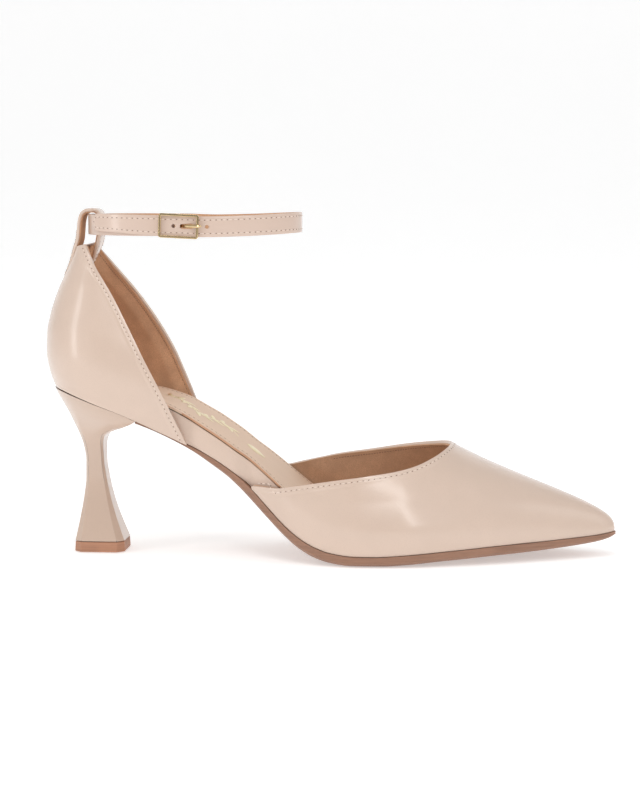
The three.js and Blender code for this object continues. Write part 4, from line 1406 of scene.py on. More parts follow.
@dataclass
class Quarters:
    """The two sides of the counter and their shared lining."""

    last: Last
    seam_gap: float = 0.12
    lining_reach: float = 0.985
    hug: float = 1.2
    tuck: float = 0.12
    tuck_height: float = 1.4
    fold: Fold = Fold(width=2.7, seam=1.6)

    def __post_init__(self) -> None:
        """Work out the edges."""
        back = [(-19.1, 69.7), (-21.2, 76), (-22.4, 83.5), (-22.2, 91.5), (-20.6, 100), (-17.4, 109.6),
                (-12.9, 119.6), (-10, 127.5)]
        fronts = {
            -1: [(39, 47.2), (33.8, 57.4), (28, 69.3), (22.4, 80.5), (16.4, 92.8), (8.9, 107), (0.6, 120),
                 (-4.4, 128.8)],
            1: [(43, 48.6), (38, 59), (33.2, 70), (28, 82), (21.6, 94), (13.2, 107), (2.8, 120.4), (-4, 129)],
        }
        knots = steps(len(back) - 1)
        self.back = [Track(zip(knots, (p[k] for p in back))) for k in (0, 1)]
        self.front = {s: [Track(zip(knots, (p[k] for p in f))) for k in (0, 1)] for s, f in fronts.items()}
        self.back_x = Track([(z, x) for x, z in back])
        self.swell = Track([(0, 0), (8, 2), (16, 2.9), (26, 2.2), (36, -0.4), (46, -4.2), (58, -9.6),
                            (70, -13)])

    def point(self, a: float, t: float, side: int) -> Vector:
        """A point of a quarter's outer face.

        Args:
            a: 0 at the back seam, 1 at the front edge.
            t: 0 at the bottom, 1 at the top.
            side: -1 for the outer side of the foot, 1 for the inner.

        Returns:
            The point.
        """
        last = self.last
        front = self.front[side]
        g = 1 - math.cos(a * math.pi / 2)
        x = mix(self.back[0](t), front[0](t), g)
        line = last.feather_z(x, side * last.half(x, side))
        sag = line - mix(self.back[1](0), front[1](0), g)
        z = mix(self.back[1](t), front[1](t), g) + sag * (1 - t) ** 3 + last.gap
        start = min(self.back_x(z - last.gap), x) if a > 0 else x
        out = last.width[side](x) + self.swell(z - line)
        y = out * round_end((x - start) / (last.heel_round * clamp(out / 24, 0.35, 1)), last.heel_power)
        return Vector((x, last.middle(x) + side * max(y, self.seam_gap / 2), z))

    def rows(self, side: int, reach: float, low: float, high: float, across: int = 64, up: int = 72,
             gather: float = 1.5) -> list[list[Vector]]:
        """Rows of a quarter from the back seam forwards.

        Args:
            side: -1 for the outer side of the foot, 1 for the inner.
            reach: where the rows stop, as a share of the way to the front edge.
            low: share of the height at which they start.
            high: share at which they end.
            across: how many steps there are between rows.
            up: how many steps each row has.
            gather: how strongly the rows gather at the front edge, 1 for even rows.

        Returns:
            The rows, each from the bottom up.
        """
        shares = [1 - (1 - s) ** gather for s in steps(across)]
        heights = [mix(low, high, 1 - (1 - t) ** 1.25) for t in steps(up)]
        return [[self.point(a * reach, t, side) for t in heights] for a in shares]

    def round_heel(self, reach: float, low: float, high: float) -> Sheet:
        """A sheet that runs round the heel in one.

        Args:
            reach: where it stops, as a share of the way to the front edges.
            low: share of the height at which it starts.
            high: share at which it ends.

        Returns:
            The sheet.
        """
        back, *medial = self.rows(1, reach, low, high)
        lateral = self.rows(-1, reach, low, high)[1:][::-1]
        middle = [Vector((p.x, self.last.middle(p.x), p.z)) for p in back]
        return weave([*lateral, middle, *medial])

    def front_edge(self, side: int) -> tuple[list[Vector], list[Vector]]:
        """The front edge from the bottom to the top.

        Args:
            side: -1 for the outer side of the foot, 1 for the inner.

        Returns:
            Its points, and the normals of the outer face there.
        """
        points, normals = [], []
        for t in steps(220):
            p = self.point(1, t, side)
            along = self.point(1, min(t + 0.01, 1), side) - self.point(1, max(t - 0.01, 0), side)
            across = p - self.point(0.97, t, side)
            n = along.cross(across).normalized()
            points.append(p)
            normals.append(n if n.y * side > 0 else -n)
        return points, normals

    def make(self) -> None:
        """Build both quarters, the lining and their stitching."""
        last = self.last
        seam = Seam("quarter_stitches", SHOE_PATENT, length=1.2, width=0.36, height=0.26, pitch=2.05)
        inner_seam = Seam("lining_stitches", SHOE_LINING, Finish.LINING_THREAD, length=1.2, width=0.34,
                          height=0.24, pitch=2.05)
        for side, name in ((-1, "quarter_lateral"), (1, "quarter_medial")):
            edge, normals = self.front_edge(side)
            near_edge = Nearness(edge)
            sheet = weave(self.rows(side, 1, 0, 1))

            def relief(p: Vector) -> float:
                """Depth of the outer face: folded at the front edge, tucked in at the bottom.

                Args:
                    p: a point of the sheet.

                Returns:
                    The depth, less than 0 where the leather stands up.
                """
                above = p.z - last.feather_z(p.x, side * last.half(p.x, side)) - last.gap
                tuck = self.tuck * (1 - clamp(above / self.tuck_height, 0, 1)) ** 2
                return tuck - self.fold(near_edge(p)) * ease(0.05, 0.5, abs(p.y))

            outer = shell(name + "_leather", sheet, side, relief, lambda p: last.upper)
            dress(soften(outer, 0.32), Finish.UPPER, SHOE_PATENT, name)
            rise = self.fold(self.fold.seam) + 0.02
            row = beside(edge, normals, self.fold.seam, rise, 1)
            turned = 1 if row[110].x < edge[110].x else -1
            row = beside(edge, normals, self.fold.seam, rise, turned)
            seam.along(row[5:-6], normals[5:-6])
            # The same row of stitches shows on the lining, inside the shoe.
            depth = self.hug + last.lining + 0.1
            inside = beside(edge, normals, self.fold.seam + 0.3, -depth, turned)
            inner_seam.along(inside[8:-10], [-n for n in normals[8:-10]])
        seam.make()
        inner_seam.make()
        edges = Nearness(self.front_edge(-1)[0][::-1] + self.front_edge(1)[0])

        def depth_at(p: Vector) -> float:
            """Depth of the lining's outer face, which meets the leather at the front edges."""
            return mix(self.hug, last.lining_depth, ease(1, 7, edges(p)))

        lining = shell("quarter_inside", self.round_heel(self.lining_reach, 0.01, 0.99), 1,
                       depth_at, lambda p: depth_at(p) + last.lining)
        dress(soften(lining, 0.2), Finish.LINING, SHOE_LINING, "quarter_lining")


@dataclass
class BackLoop:
    """The strip that is sewn to the counter outside and inside and carries the strap in its bight."""

    quarters: Quarters
    width: float = 11.5
    wall: float = 1.35
    lining: float = 0.35
    foot_bend: float = 0.031
    stitch_inset: float = 1.3
    stitch_rise: float = 0.14

    def path(self) -> list[Vector]:
        """Middle line of the strip, from its outer foot over the strap to its inner tongue.

        Returns:
            Even points along it.
        """
        rear = self.quarters.back_x
        points = [
            (rear(116) - 0.25, 116), (rear(121) - 0.3, 121), (rear(127) - 0.45, 127), (-9.0, 131.4),
            (-8.2, 135.4), (-7.6, 139), (-6.6, 141.7), (-4.4, 143), (-1.6, 143.1), (0.2, 142.2), (0.9, 140),
            (0.85, 135.6), (0.2, 130.6), (-1.5, 125.6), (-3.9, 120),
        ]
        return smooth_path([Vector((x, 0, z)) for x, z in points], 90)

    def make(self) -> None:
        """Build the loop and its stitches."""
        path = self.path()
        stations = plan_stations(path, Vector((0, 1, 0)), self.width, self.wall)
        count = len(stations)
        for i, station in enumerate(stations):
            share = i / (count - 1)
            # The outer foot is skived thin and the inner tongue runs to a point.
            station.wall = mix(0.35, self.wall, ease(0.05, 0.3, share))
            # The foot follows the round back of the counter.
            station.bend = self.foot_bend * (1 - ease(0.2, 0.42, share))
            station.width = self.width * mix(1, 0.12, ease(0.8, 1.0, share) ** 1.2)
        loop = strip("back_loop_leather", stations, crown=0.18)
        dress(loop, Finish.UPPER, SHOE_PATENT, "back_loop")
        inside = []
        for s in stations[12:-4]:
            centre = s.centre - s.out * (s.wall + self.lining) / 2
            inside.append(Station(centre, s.across, s.out, s.width - 0.5, self.lining, s.bend))
        dress(strip("back_loop_inside", inside), Finish.LINING, SHOE_LINING)
        seam = Seam("loop_stitches", SHOE_PATENT, length=1.1, width=0.34, height=0.24, pitch=1.9)
        for edge in (-1, 1):
            for start, stop in ((2, 30), (58, 86)):
                points = []
                for s in stations[start:stop]:
                    across = s.width / 2 - self.stitch_inset
                    lift = s.wall / 2 + self.stitch_rise - s.bend * across ** 2
                    points.append(s.centre + s.across * edge * across + s.out * lift)
                seam.along(points, [s.out for s in stations[start:stop]])
        seam.make()


# ---------- sole ----------


@dataclass
class Sole:
    """Outsole, waist cover, cushions and sock."""

    last: Last
    wrap_start: float = 27.0
    wrap_end: float = 80.0
    cushion: float = 1.6
    margin: float = 8.0
    edge_lift: float = 0.42
    edge_room: float = 3.4
    toe_reach: float = 0.4
    bow: float = 0.35

    def outsole(self) -> None:
        """Build the outsole."""
        last = self.last
        inset = Track([(19, 2.4), (34, 1.8), (44, 0.6), (60, 0.1), (80, -0.3), (216, -0.4)])

        def bottom(x: float, y: float) -> float:
            """Ground side, which is rounded up towards its edge.

            Args:
                x: place along the shoe.
                y: place across it.

            Returns:
                The height there.
            """
            side = -1 if y < last.middle(x) else 1
            room = min(abs(last.edge(x, side, inset(x)) - y), last.toe + self.toe_reach - x)
            lift = self.edge_lift * (1 - clamp(room / self.edge_room, 0, 1)) ** 2
            return last.under_z(x, y) + lift * (last.feather_z(x, y) - last.under_z(x, y))

        slab = Slab(last, last.breast - 0.5, last.toe + self.toe_reach, lambda x, side: inset(x),
                    lambda x, y: last.feather_z(x, y) + 0.12, bottom, rows=190, round_end=True)
        piece = soften(slab.make("outsole_leather_piece"), 0.35)
        dress(piece, Finish.OUTSOLE, Home("shoe", "outsole"), "outsole")

    def waist(self) -> None:
        """Build the leather round the bare waist."""
        last = self.last
        rows = []
        for t in steps(90):
            x = mix(self.wrap_start, self.wrap_end, t)
            low, high = (last.edge(x, s, last.waist[s](x)) for s in (-1, 1))
            row = []
            for y, order in ((low, (0, 1, 2, 3)), (high, (3, 2, 1, 0))):
                top = last.footbed_z(x, y) - last.sock - last.gap - last.facet
                foot = last.feather_z(x, y) + last.gap
                side = -1 if y == low else 1
                # The leather bows out a little between the sole and the sock.
                places = [Vector((x, y + side * self.bow * math.sin(math.pi * k / 3), mix(top, foot, k / 3)))
                          for k in range(4)]
                row += [places[k] for k in order]
                if y == low:
                    for u in steps(8)[1:-1]:
                        middle = mix(low, high, u)
                        row.append(Vector((x, middle, last.feather_z(x, middle) + last.gap)))
            rows.append(row)
        wrap = shell("waist_leather_piece", weave(rows), 1, lambda p: 0.0, lambda p: last.wrap)
        dress(soften(wrap, 0.25), Finish.WRAP, SHOE_PATENT, "waist_wrap")

    def cushions(self) -> None:
        """Build the two foam pads that lie under the sock."""
        last = self.last
        spans = (("heel_cushion", last.seat_back + self.margin, 25.0, True),
                 ("forepart_cushion", 98.0, 138.0, False))
        for name, start, end, rounded in spans:
            def top(x: float, y: float) -> float:
                """Crowned top, under the sock."""
                shy = 0.5 * (1 - min(1.0, min(x - start, end - x) / 4)) ** 2
                return last.footbed_z(x, y) - last.sock - last.gap - shy

            def bottom(x: float, y: float) -> float:
                """Flat bottom, on the board."""
                return last.footbed_z(x, y) - last.sock - last.gap - self.cushion

            pad = Slab(last, start, end, lambda x, side: self.margin, top, bottom, rows=40, columns=16,
                       round_start=rounded).make(name + "_pad")
            soften(pad, 0.5)
            dress(pad, Finish.FOAM, Home("shoe", "foam"), name)

    def sock_inset(self, x: float, side: int) -> float:
        """How far the sock lies inside the outline."""
        return self.last.waist[side](x)

    def on_sock(self, x: float, y: float, rise: float) -> Vector:
        """A point over the sock's top."""
        return Vector((x, y, self.last.footbed_z(x, y) + rise))

    def sock(self) -> None:
        """Build the sock, its bound edge, its stitches and its foil ornament."""
        last = self.last
        start = last.seat_back + last.inner_depth + 0.6
        slab = Slab(last, start, last.toe - last.inner_depth - 10, self.sock_inset, last.footbed_z,
                    lambda x, y: last.footbed_z(x, y) - last.sock, rows=190, columns=30, round_start=True,
                    round_end=True)
        dress(soften(slab.make("sock_leather_piece"), 0.3), Finish.SOCK, SHOE_SOCK, "sock")
        for side, name in ((-1, "outer"), (1, "inner")):
            path = []
            for t in steps(60):
                x = mix(37 if side < 0 else 42, 78, t)
                y = last.edge(x, side, self.sock_inset(x, side)) + side * 0.12
                path.append(self.on_sock(x, y, -0.6))
            edge = tube("sock_edge_" + name, path, [0.38] * len(path), 10)
            dress(edge, Finish.BINDING, SHOE_SOCK)
        seam = Seam("sock_stitches", SHOE_SOCK, Finish.LINING_THREAD, pitch=2.2, length=1.2, width=0.3,
                    height=0.16, hole=0.26)
        for side in (-1, 1):
            row = [self.on_sock(x, last.edge(x, side, self.sock_inset(x, side) + 2.6), 0.03)
                   for x in (mix(-6, 150, t) for t in steps(120))]
            seam.along(row, [UP] * len(row))
        seam.make()
        Ornament(self).make()


@dataclass
class Ornament:
    """A plain foil flourish and an oval on the sock."""

    sole: Sole
    start: float = 27.0
    end: float = 58.0
    wave: float = 4.2
    oval: Point = (65.5, -1.0)
    foil: float = 0.95

    def lay(self, name: str, rows: list[list[Point]]) -> bpy.types.Object:
        """Lay foil over the sock between rows of places given in X and Y."""
        sheet = weave([[self.sole.on_sock(x, y, 0.05) for x, y in row] for row in rows])
        return shell(name, sheet, 1, lambda p: -0.01, lambda p: 0.03)

    def ribbon(self, name: str, plan: list[Point], widths: list[float]) -> bpy.types.Object:
        """A flat line of foil.

        Args:
            name: name of the piece.
            plan: its middle line in X and Y.
            widths: its width at each point.

        Returns:
            The object.
        """
        rows = []
        for i, (x, y) in enumerate(plan):
            before, after = plan[max(i - 1, 0)], plan[min(i + 1, len(plan) - 1)]
            along = Vector((after[0] - before[0], after[1] - before[1])).normalized()
            w = widths[i] / 2
            rows.append([(x - along.y * w * k, y + along.x * w * k) for k in (-1, 1)])
        return self.lay(name, rows)

    def leaf(self, foot: Point, angle: float, length: float, width: float) -> bpy.types.Object:
        """A filled leaf.

        Args:
            foot: where it starts, in X and Y.
            angle: where it points, in radians from +X.
            length: its length.
            width: its width.

        Returns:
            The object.
        """
        rows = []
        along, across = (math.cos(angle), math.sin(angle)), (-math.sin(angle), math.cos(angle))
        for t in steps(14):
            w = width / 2 * math.sin(math.pi * mix(0.02, 0.98, t ** 0.8))
            rows.append([(foot[0] + along[0] * length * t + across[0] * w * k,
                          foot[1] + along[1] * length * t + across[1] * w * k) for k in (-1, 0, 1)])
        return self.lay("foil_leaf", rows)

    def stem(self, t: float) -> Point:
        """Place on the vine's stem."""
        return mix(self.start, self.end, t), self.wave * math.sin(2 * math.pi * 1.5 * t)

    def make(self) -> None:
        """Lay a waving vine with leaves and a filled oval after it."""
        plan = [self.stem(t) for t in steps(90)]
        widths = [self.foil * (0.55 + 0.6 * math.sin(math.pi * t)) for t in steps(90)]
        parts = [self.ribbon("foil_stem", plan, widths)]
        for k in range(9):
            t = 0.06 + 0.1 * k
            (x0, y0), (x1, y1) = self.stem(t), self.stem(t + 0.01)
            heading = math.atan2(y1 - y0, x1 - x0)
            for turn in (-0.85, 0.85):
                parts.append(self.leaf((x0, y0), heading + turn, 4.8 - 0.6 * (k % 2), 2.1))
        parts.append(self.leaf((self.oval[0] - 3.6, self.oval[1]), 0.0, 7.6, 6.2))
        dress(join("sock_foil", parts), Finish.FOIL, Home("shoe", "gold_metal"))


def join(name: str, parts: Sequence[bpy.types.Object]) -> bpy.types.Object:
    """Make one object of several.

    Args:
        name: name of the new object.
        parts: the objects, which are dropped.

    Returns:
        The new object.
    """
    work = bmesh.new()
    for part in parts:
        work.from_mesh(part.data)
    mesh = bpy.data.meshes.new(name)
    work.to_mesh(mesh)
    work.free()
    for part in parts:
        bpy.data.objects.remove(part)
    return put(name, mesh)


# ---------- heel ----------


@dataclass
class Heel:
    """The covered spool heel and its top lift."""

    last: Last
    base_length: float = 20.8
    base_width: float = 20.0
    corner: float = 2.8
    lift: float = 4.2
    flare: float = 1.02
    seat_level: float = 69.4
    fine_levels: int = 5

    def __post_init__(self) -> None:
        """Work out the levels and the plan."""
        half = self.base_length / 2
        # Each level: back X and Z, front X and Z, half-width, and its share of the seat's shape.
        self.levels = [
            (-half, 4.5, half, 4.5, self.base_width / 2, 0), (-9.5, 9, 8.7, 9, 8.7, 0),
            (-8.3, 15.5, 6.4, 15.5, 7.1, 0.02), (-7.1, 23, 4.2, 23, 5.8, 0.06), (-6.3, 31, 2.5, 31, 5, 0.14),
            (-6.3, 38, 1.5, 38, 4.8, 0.22), (-7.3, 44.6, 1.3, 44.4, 5.6, 0.36), (-9.1, 50, 2, 48.6, 7.6, 0.5),
            (-11.2, 54.8, 4.2, 51.2, 10.8, 0.66), (-13.3, 59.4, 7.6, 52.6, 14.8, 0.8),
            (-15.6, 63.4, 12, 53.6, 19, 0.92), (-18, 67.2, 16.2, 54.6, 22.6, 0.98),
            (self.last.seat_back, 69.4, self.last.breast, 56.1, 24.2, 1),
        ]
        across, along = 1 - 2 * self.corner / self.base_width, self.corner / self.base_length
        self.square = [(0, 0), (0, 0.36), (0, across), (along, 1), (0.36, 1), (0.64, 1), (1 - along, 1),
                       (1, across), (1, 0.36), (1, 0)]
        self.places = [0, 0.025, 0.1, 0.25, 0.45, 0.7, 0.95, 1, 1, 1]
        self.shares = [0, 1, 1, 1, 1, 1, 1, 0.985, 0.5, 0]

    def ring(self, level: Sequence[float], top: bool, fine: int = 6) -> list[Vector]:
        """One ring of the heel.

        Args:
            level: back X and Z, front X and Z, half-width and share of the seat's shape.
            top: whether it is the ring on the seat.
            fine: points between two corners of the plan.

        Returns:
            Points from the back round the outer side to the front and home on the inner side.
        """
        back_x, back_z, front_x, front_z, half_width, share = level
        last = self.last
        seat = Track(zip(range(10), self.places))
        ring = []
        spans = len(self.square) - 1
        for side in (-1, 1):
            points = []
            widest = last.half(8, side)
            for k in range(spans * fine + 1):
                i = min(k // fine, spans - 1)
                t = k / fine - i
                u = mix(self.square[i][0], self.square[i + 1][0], t)
                v = mix(self.square[i][1], self.square[i + 1][1], t)
                seat_x = mix(last.seat_back, last.breast, seat(i + t))
                seat_v = last.half(seat_x, side) / widest
                if i > 0:
                    seat_v *= mix(self.shares[i], self.shares[i + 1], t)
                at = mix(u, seat(i + t), share)
                x = mix(back_x, front_x, at)
                y = side * half_width * mix(v, seat_v, share)
                on_seat = last.feather_z(x, y) - mix(last.gap, -0.18, ease(-18, 12, x))
                under = on_seat - (self.seat_level - back_z)
                z = on_seat if top else mix(mix(back_z, front_z, at), under, share ** 3)
                points.append(Vector((x, y, z)))
            ring += points if side < 0 else points[1:-1][::-1]
        return ring

    def block(self) -> bpy.types.Object:
        """Build the heel block.

        Returns:
            The object.
        """
        count = len(self.levels)
        tracks = [Track(zip(range(count), (lv[k] for lv in self.levels))) for k in range(6)]
        places = [i / self.fine_levels for i in range((count - 1) * self.fine_levels + 1)]
        rings = [self.ring([track(p) for track in tracks], p == count - 1) for p in places]
        n = len(rings[0])
        points = [p for ring in rings for p in ring]
        faces = bands(len(rings), n)
        for start in (0, (len(rings) - 1) * n):
            for j in range(n // 2):
                ring = (start + j, start + j + 1, start + (n - j - 1) % n, start + (n - j) % n)
                faces.append(tuple(dict.fromkeys(ring)))
        faces = [f for f in faces if len(f) > 2]
        return make_object("heel_cover", points, faces)

    def make(self) -> None:
        """Build the heel and its lift."""
        dress(soften(self.block(), 0.4, angle=24), Finish.HEEL, Home("shoe", "heel_cover"), "heel_block")
        half = self.base_length / 2
        corners = []
        for side in (-1, 1):
            picked = [(mix(-half, half, u), side * v * self.base_width / 2)
                      for i, (u, v) in enumerate(self.square) if i in (2, 3, 6, 7)]
            corners += picked if side < 0 else picked[::-1]
        n = len(corners)
        points = [Vector((x * self.flare, y * self.flare, 0)) for x, y in corners]
        points += [Vector((x, y, self.lift)) for x, y in corners]
        faces = [tuple(range(n)), tuple(range(2 * n - 1, n - 1, -1)), *bands(2, n)]
        lift = soften(make_object("heel_tip", points, faces), 0.3, angle=24)
        dress(lift, Finish.TOP_LIFT, Home("shoe", "top_lift"), "top_lift")


# ---------- ankle strap ----------


@dataclass
class AnkleStrap:
    """The strap: two layers round the ankle, with a free end over its own start."""

    width: float = 8.4
    lining: float = 0.55
    gap: float = 0.12
    leather: float = 0.75
    back: float = -3.1
    front: float = 83.5
    half: float = 21.2
    straight: Point = (24.0, 54.0)
    bar_x: float = 36.4
    bar_radius: float = 0.55
    clearance: float = 0.3
    tab_leaf: float = 0.5
    overlap_gap: float = 0.35
    tail: float = 37.0
    tail_taper: float = 1.4
    tail_rise: float = 1.3
    hole_pitch: float = 6.8
    hole_radius: float = 0.8
    first_hole: float = 5.2
    slot_centre: float = 3.8
    slot_length: float = 5.6
    prong_width: float = 1.5
    stitch_inset: float = 1.5
    spacing: float = 0.9
    tip_round: float = 3.4

    def __post_init__(self) -> None:
        """Work out the path and the levels."""
        self.wall = self.lining + self.gap + self.leather
        self.middle = Track([(-3, 137.2), (24, 137.1), (36, 137), (46, 136.7), (61, 137), (74, 137.6),
                             (84, 138.2)])
        rear, ahead = self.straight
        plan = [(self.bar_x, -self.half), (rear, -self.half)]
        for t in steps(90)[1:]:
            angle = -math.pi / 2 - math.pi * t
            plan.append((rear + (rear - self.back) * math.cos(angle), self.half * math.sin(angle)))
        plan.append((ahead, self.half))
        for t in steps(90)[1:]:
            angle = math.pi / 2 - math.pi * t
            plan.append((ahead + (self.front - ahead) * math.cos(angle), self.half * math.sin(angle)))
        plan.append((self.bar_x, -self.half))
        self.plan = plan
        self.reach = [0.0]
        for a, b in zip(plan, plan[1:]):
            self.reach.append(self.reach[-1] + math.dist(a, b))
        self.length = self.reach[-1]
        self.bar_level = self.wall / 2
        over = self.bar_level + self.bar_radius + self.clearance + self.tab_leaf + self.overlap_gap
        self.over_level = over
        turn = self.length
        self.level = Track([(turn - 24, 0), (turn - 11, over), (turn + 10, over),
                            (turn + 18, self.wall + self.overlap_gap)])
        self.tail_width = Track([(turn + 10, self.width), (turn + self.tail, self.width - self.tail_taper)])
        self.tail_lift = Track([(turn + 6, 0), (turn + self.tail, self.tail_rise)])

    def frame_at(self, s: float) -> tuple[Vector, Vector]:
        """Place on the ankle side and outward direction.

        Args:
            s: distance along the strap from the buckle's bar.

        Returns:
            The place, at height 0, and the direction.
        """
        s = s % self.length
        i = min(bisect.bisect_right(self.reach, s), len(self.reach) - 1)
        a, b = self.plan[i - 1], self.plan[i]
        t = (s - self.reach[i - 1]) / (self.reach[i] - self.reach[i - 1])
        place = Vector((mix(a[0], b[0], t), mix(a[1], b[1], t), 0))
        near = [self.plan[max(i - 2, 0)], self.plan[min(i + 1, len(self.plan) - 1)]]
        first = Vector((b[0] - a[0], b[1] - a[1], 0)).normalized()
        before = Vector((a[0] - near[0][0], a[1] - near[0][1], 0))
        after = Vector((near[1][0] - b[0], near[1][1] - b[1], 0))
        start = (before.normalized() + first).normalized() if before.length > 0 else first
        end = (after.normalized() + first).normalized() if after.length > 0 else first
        along = start.lerp(end, t).normalized()
        return place, Vector((-along.y, along.x, 0))

    def point(self, s: float, across: float, depth: float) -> Vector:
        """A point of the strap.

        Args:
            s: distance along the strap from the buckle's bar.
            across: distance up from the strap's middle.
            depth: distance outwards from the ankle side.

        Returns:
            The point.
        """
        place, out = self.frame_at(s)
        p = place + out * (self.level(s) + depth)
        p.z = self.middle(place.x) + self.tail_lift(s) + across
        return p

    def layer(self, name: str, inner: float, outer: float, end: float, narrow: float,
              crown: float) -> bpy.types.Object:
        """Build one layer of the strap.

        Args:
            name: name of the object.
            inner: depth of its ankle side.
            outer: depth of its outer side.
            end: where the layer stops.
            narrow: share of the strap's width.
            crown: how far its face stands up in the middle.

        Returns:
            The object.
        """
        start = 2.6
        stations = []
        count = int((end - start) / self.spacing)
        for t in steps(count):
            # Stations gather at the rounded tip.
            s = mix(start, end, t if t < 0.95 else 0.95 + 0.05 * math.sin((t - 0.95) / 0.05 * math.pi / 2))
            taper = round_end((end + 0.05 - s) / self.tip_round, 2.0)
            _, out = self.frame_at(s)
            width = self.tail_width(s) * narrow * max(taper, 0.12)
            stations.append(Station(self.point(s, 0, (inner + outer) / 2), UP, out, width, outer - inner))
        return strip(name, stations, crown=crown)

    def tool(self, x: float, long: float, radius: float, sides: int) -> bpy.types.Object:
        """A tool that cuts a hole through the strap's free end.

        Args:
            x: middle of the hole.
            long: half its length.
            radius: half its width, and the radius of its ends.
            sides: faces round it.

        Returns:
            The tool.
        """
        y = -(self.half + self.over_level + self.wall / 2)
        outline = [Vector((x + (long - radius) * (1 if c > 0 else -1) + radius * c, y - 1.5,
                           self.middle(x) + radius * sine)) for c, sine in circle(sides)]
        return prism("hole_tool", outline, Vector((0, 3, 0)))

    def holes(self) -> list[bpy.types.Object]:
        """Tools for the prong's slot and the spare holes.

        Returns:
            The tools.
        """
        slot = self.tool(self.bar_x + self.slot_centre, self.slot_length / 2,
                         self.prong_width / 2 + self.clearance, 24)
        return [slot] + [self.tool(self.bar_x + self.first_hole + k * self.hole_pitch, self.hole_radius,
                                   self.hole_radius, 20) for k in (-1, 1)]

    def seams(self) -> None:
        """Sew both edges of the strap and round its free end."""
        seam = Seam("strap_stitches", STRAP_PATENT, pitch=2.3, length=1.55, width=0.4, height=0.28)
        end = self.length + self.tail

        def line(places: list[tuple[float, float]]) -> None:
            """Add stitches through places given as distance along and across."""
            points = [self.point(s, v, self.wall + 0.02) for s, v in places]
            seam.along(points, [self.frame_at(s)[1] for s, _ in places])

        # The seams stop short of the loop at the counter, which hides the strap there.
        near = [mix(4.5, self.bar_x - 8.0, t) for t in steps(60)]
        for side in (-1, 1):
            line([(s, side * (self.width / 2 - self.stitch_inset)) for s in near])
        stop = end - 2.6
        rest = [mix(self.length * 0.31, stop, t) for t in steps(420)]
        upper = [(s, self.tail_width(s) / 2 - self.stitch_inset) for s in rest]
        tip = self.tail_width(end) / 2 - self.stitch_inset
        turn = [(stop + 1.1 * math.sin(math.pi * t), tip * math.cos(math.pi * t)) for t in steps(14)[1:-1]]
        lower = [(s, -v) for s, v in reversed(upper)]
        line(upper + turn + lower)
        seam.make()

    def make(self) -> None:
        """Build both layers and their stitching."""
        end = self.length + self.tail
        outer = self.layer("strap_leather", self.lining + self.gap, self.wall, end, 1.0, 0.03)
        dress(punched(outer, self.holes()), Finish.STRAP, STRAP_PATENT, "strap_outer")
        inner = self.layer("strap_inside", 0.0, self.lining, end - 0.6, 0.97, 0.0)
        dress(punched(inner, self.holes()), Finish.LINING, STRAP_LINING, "strap_lining")
        self.seams()


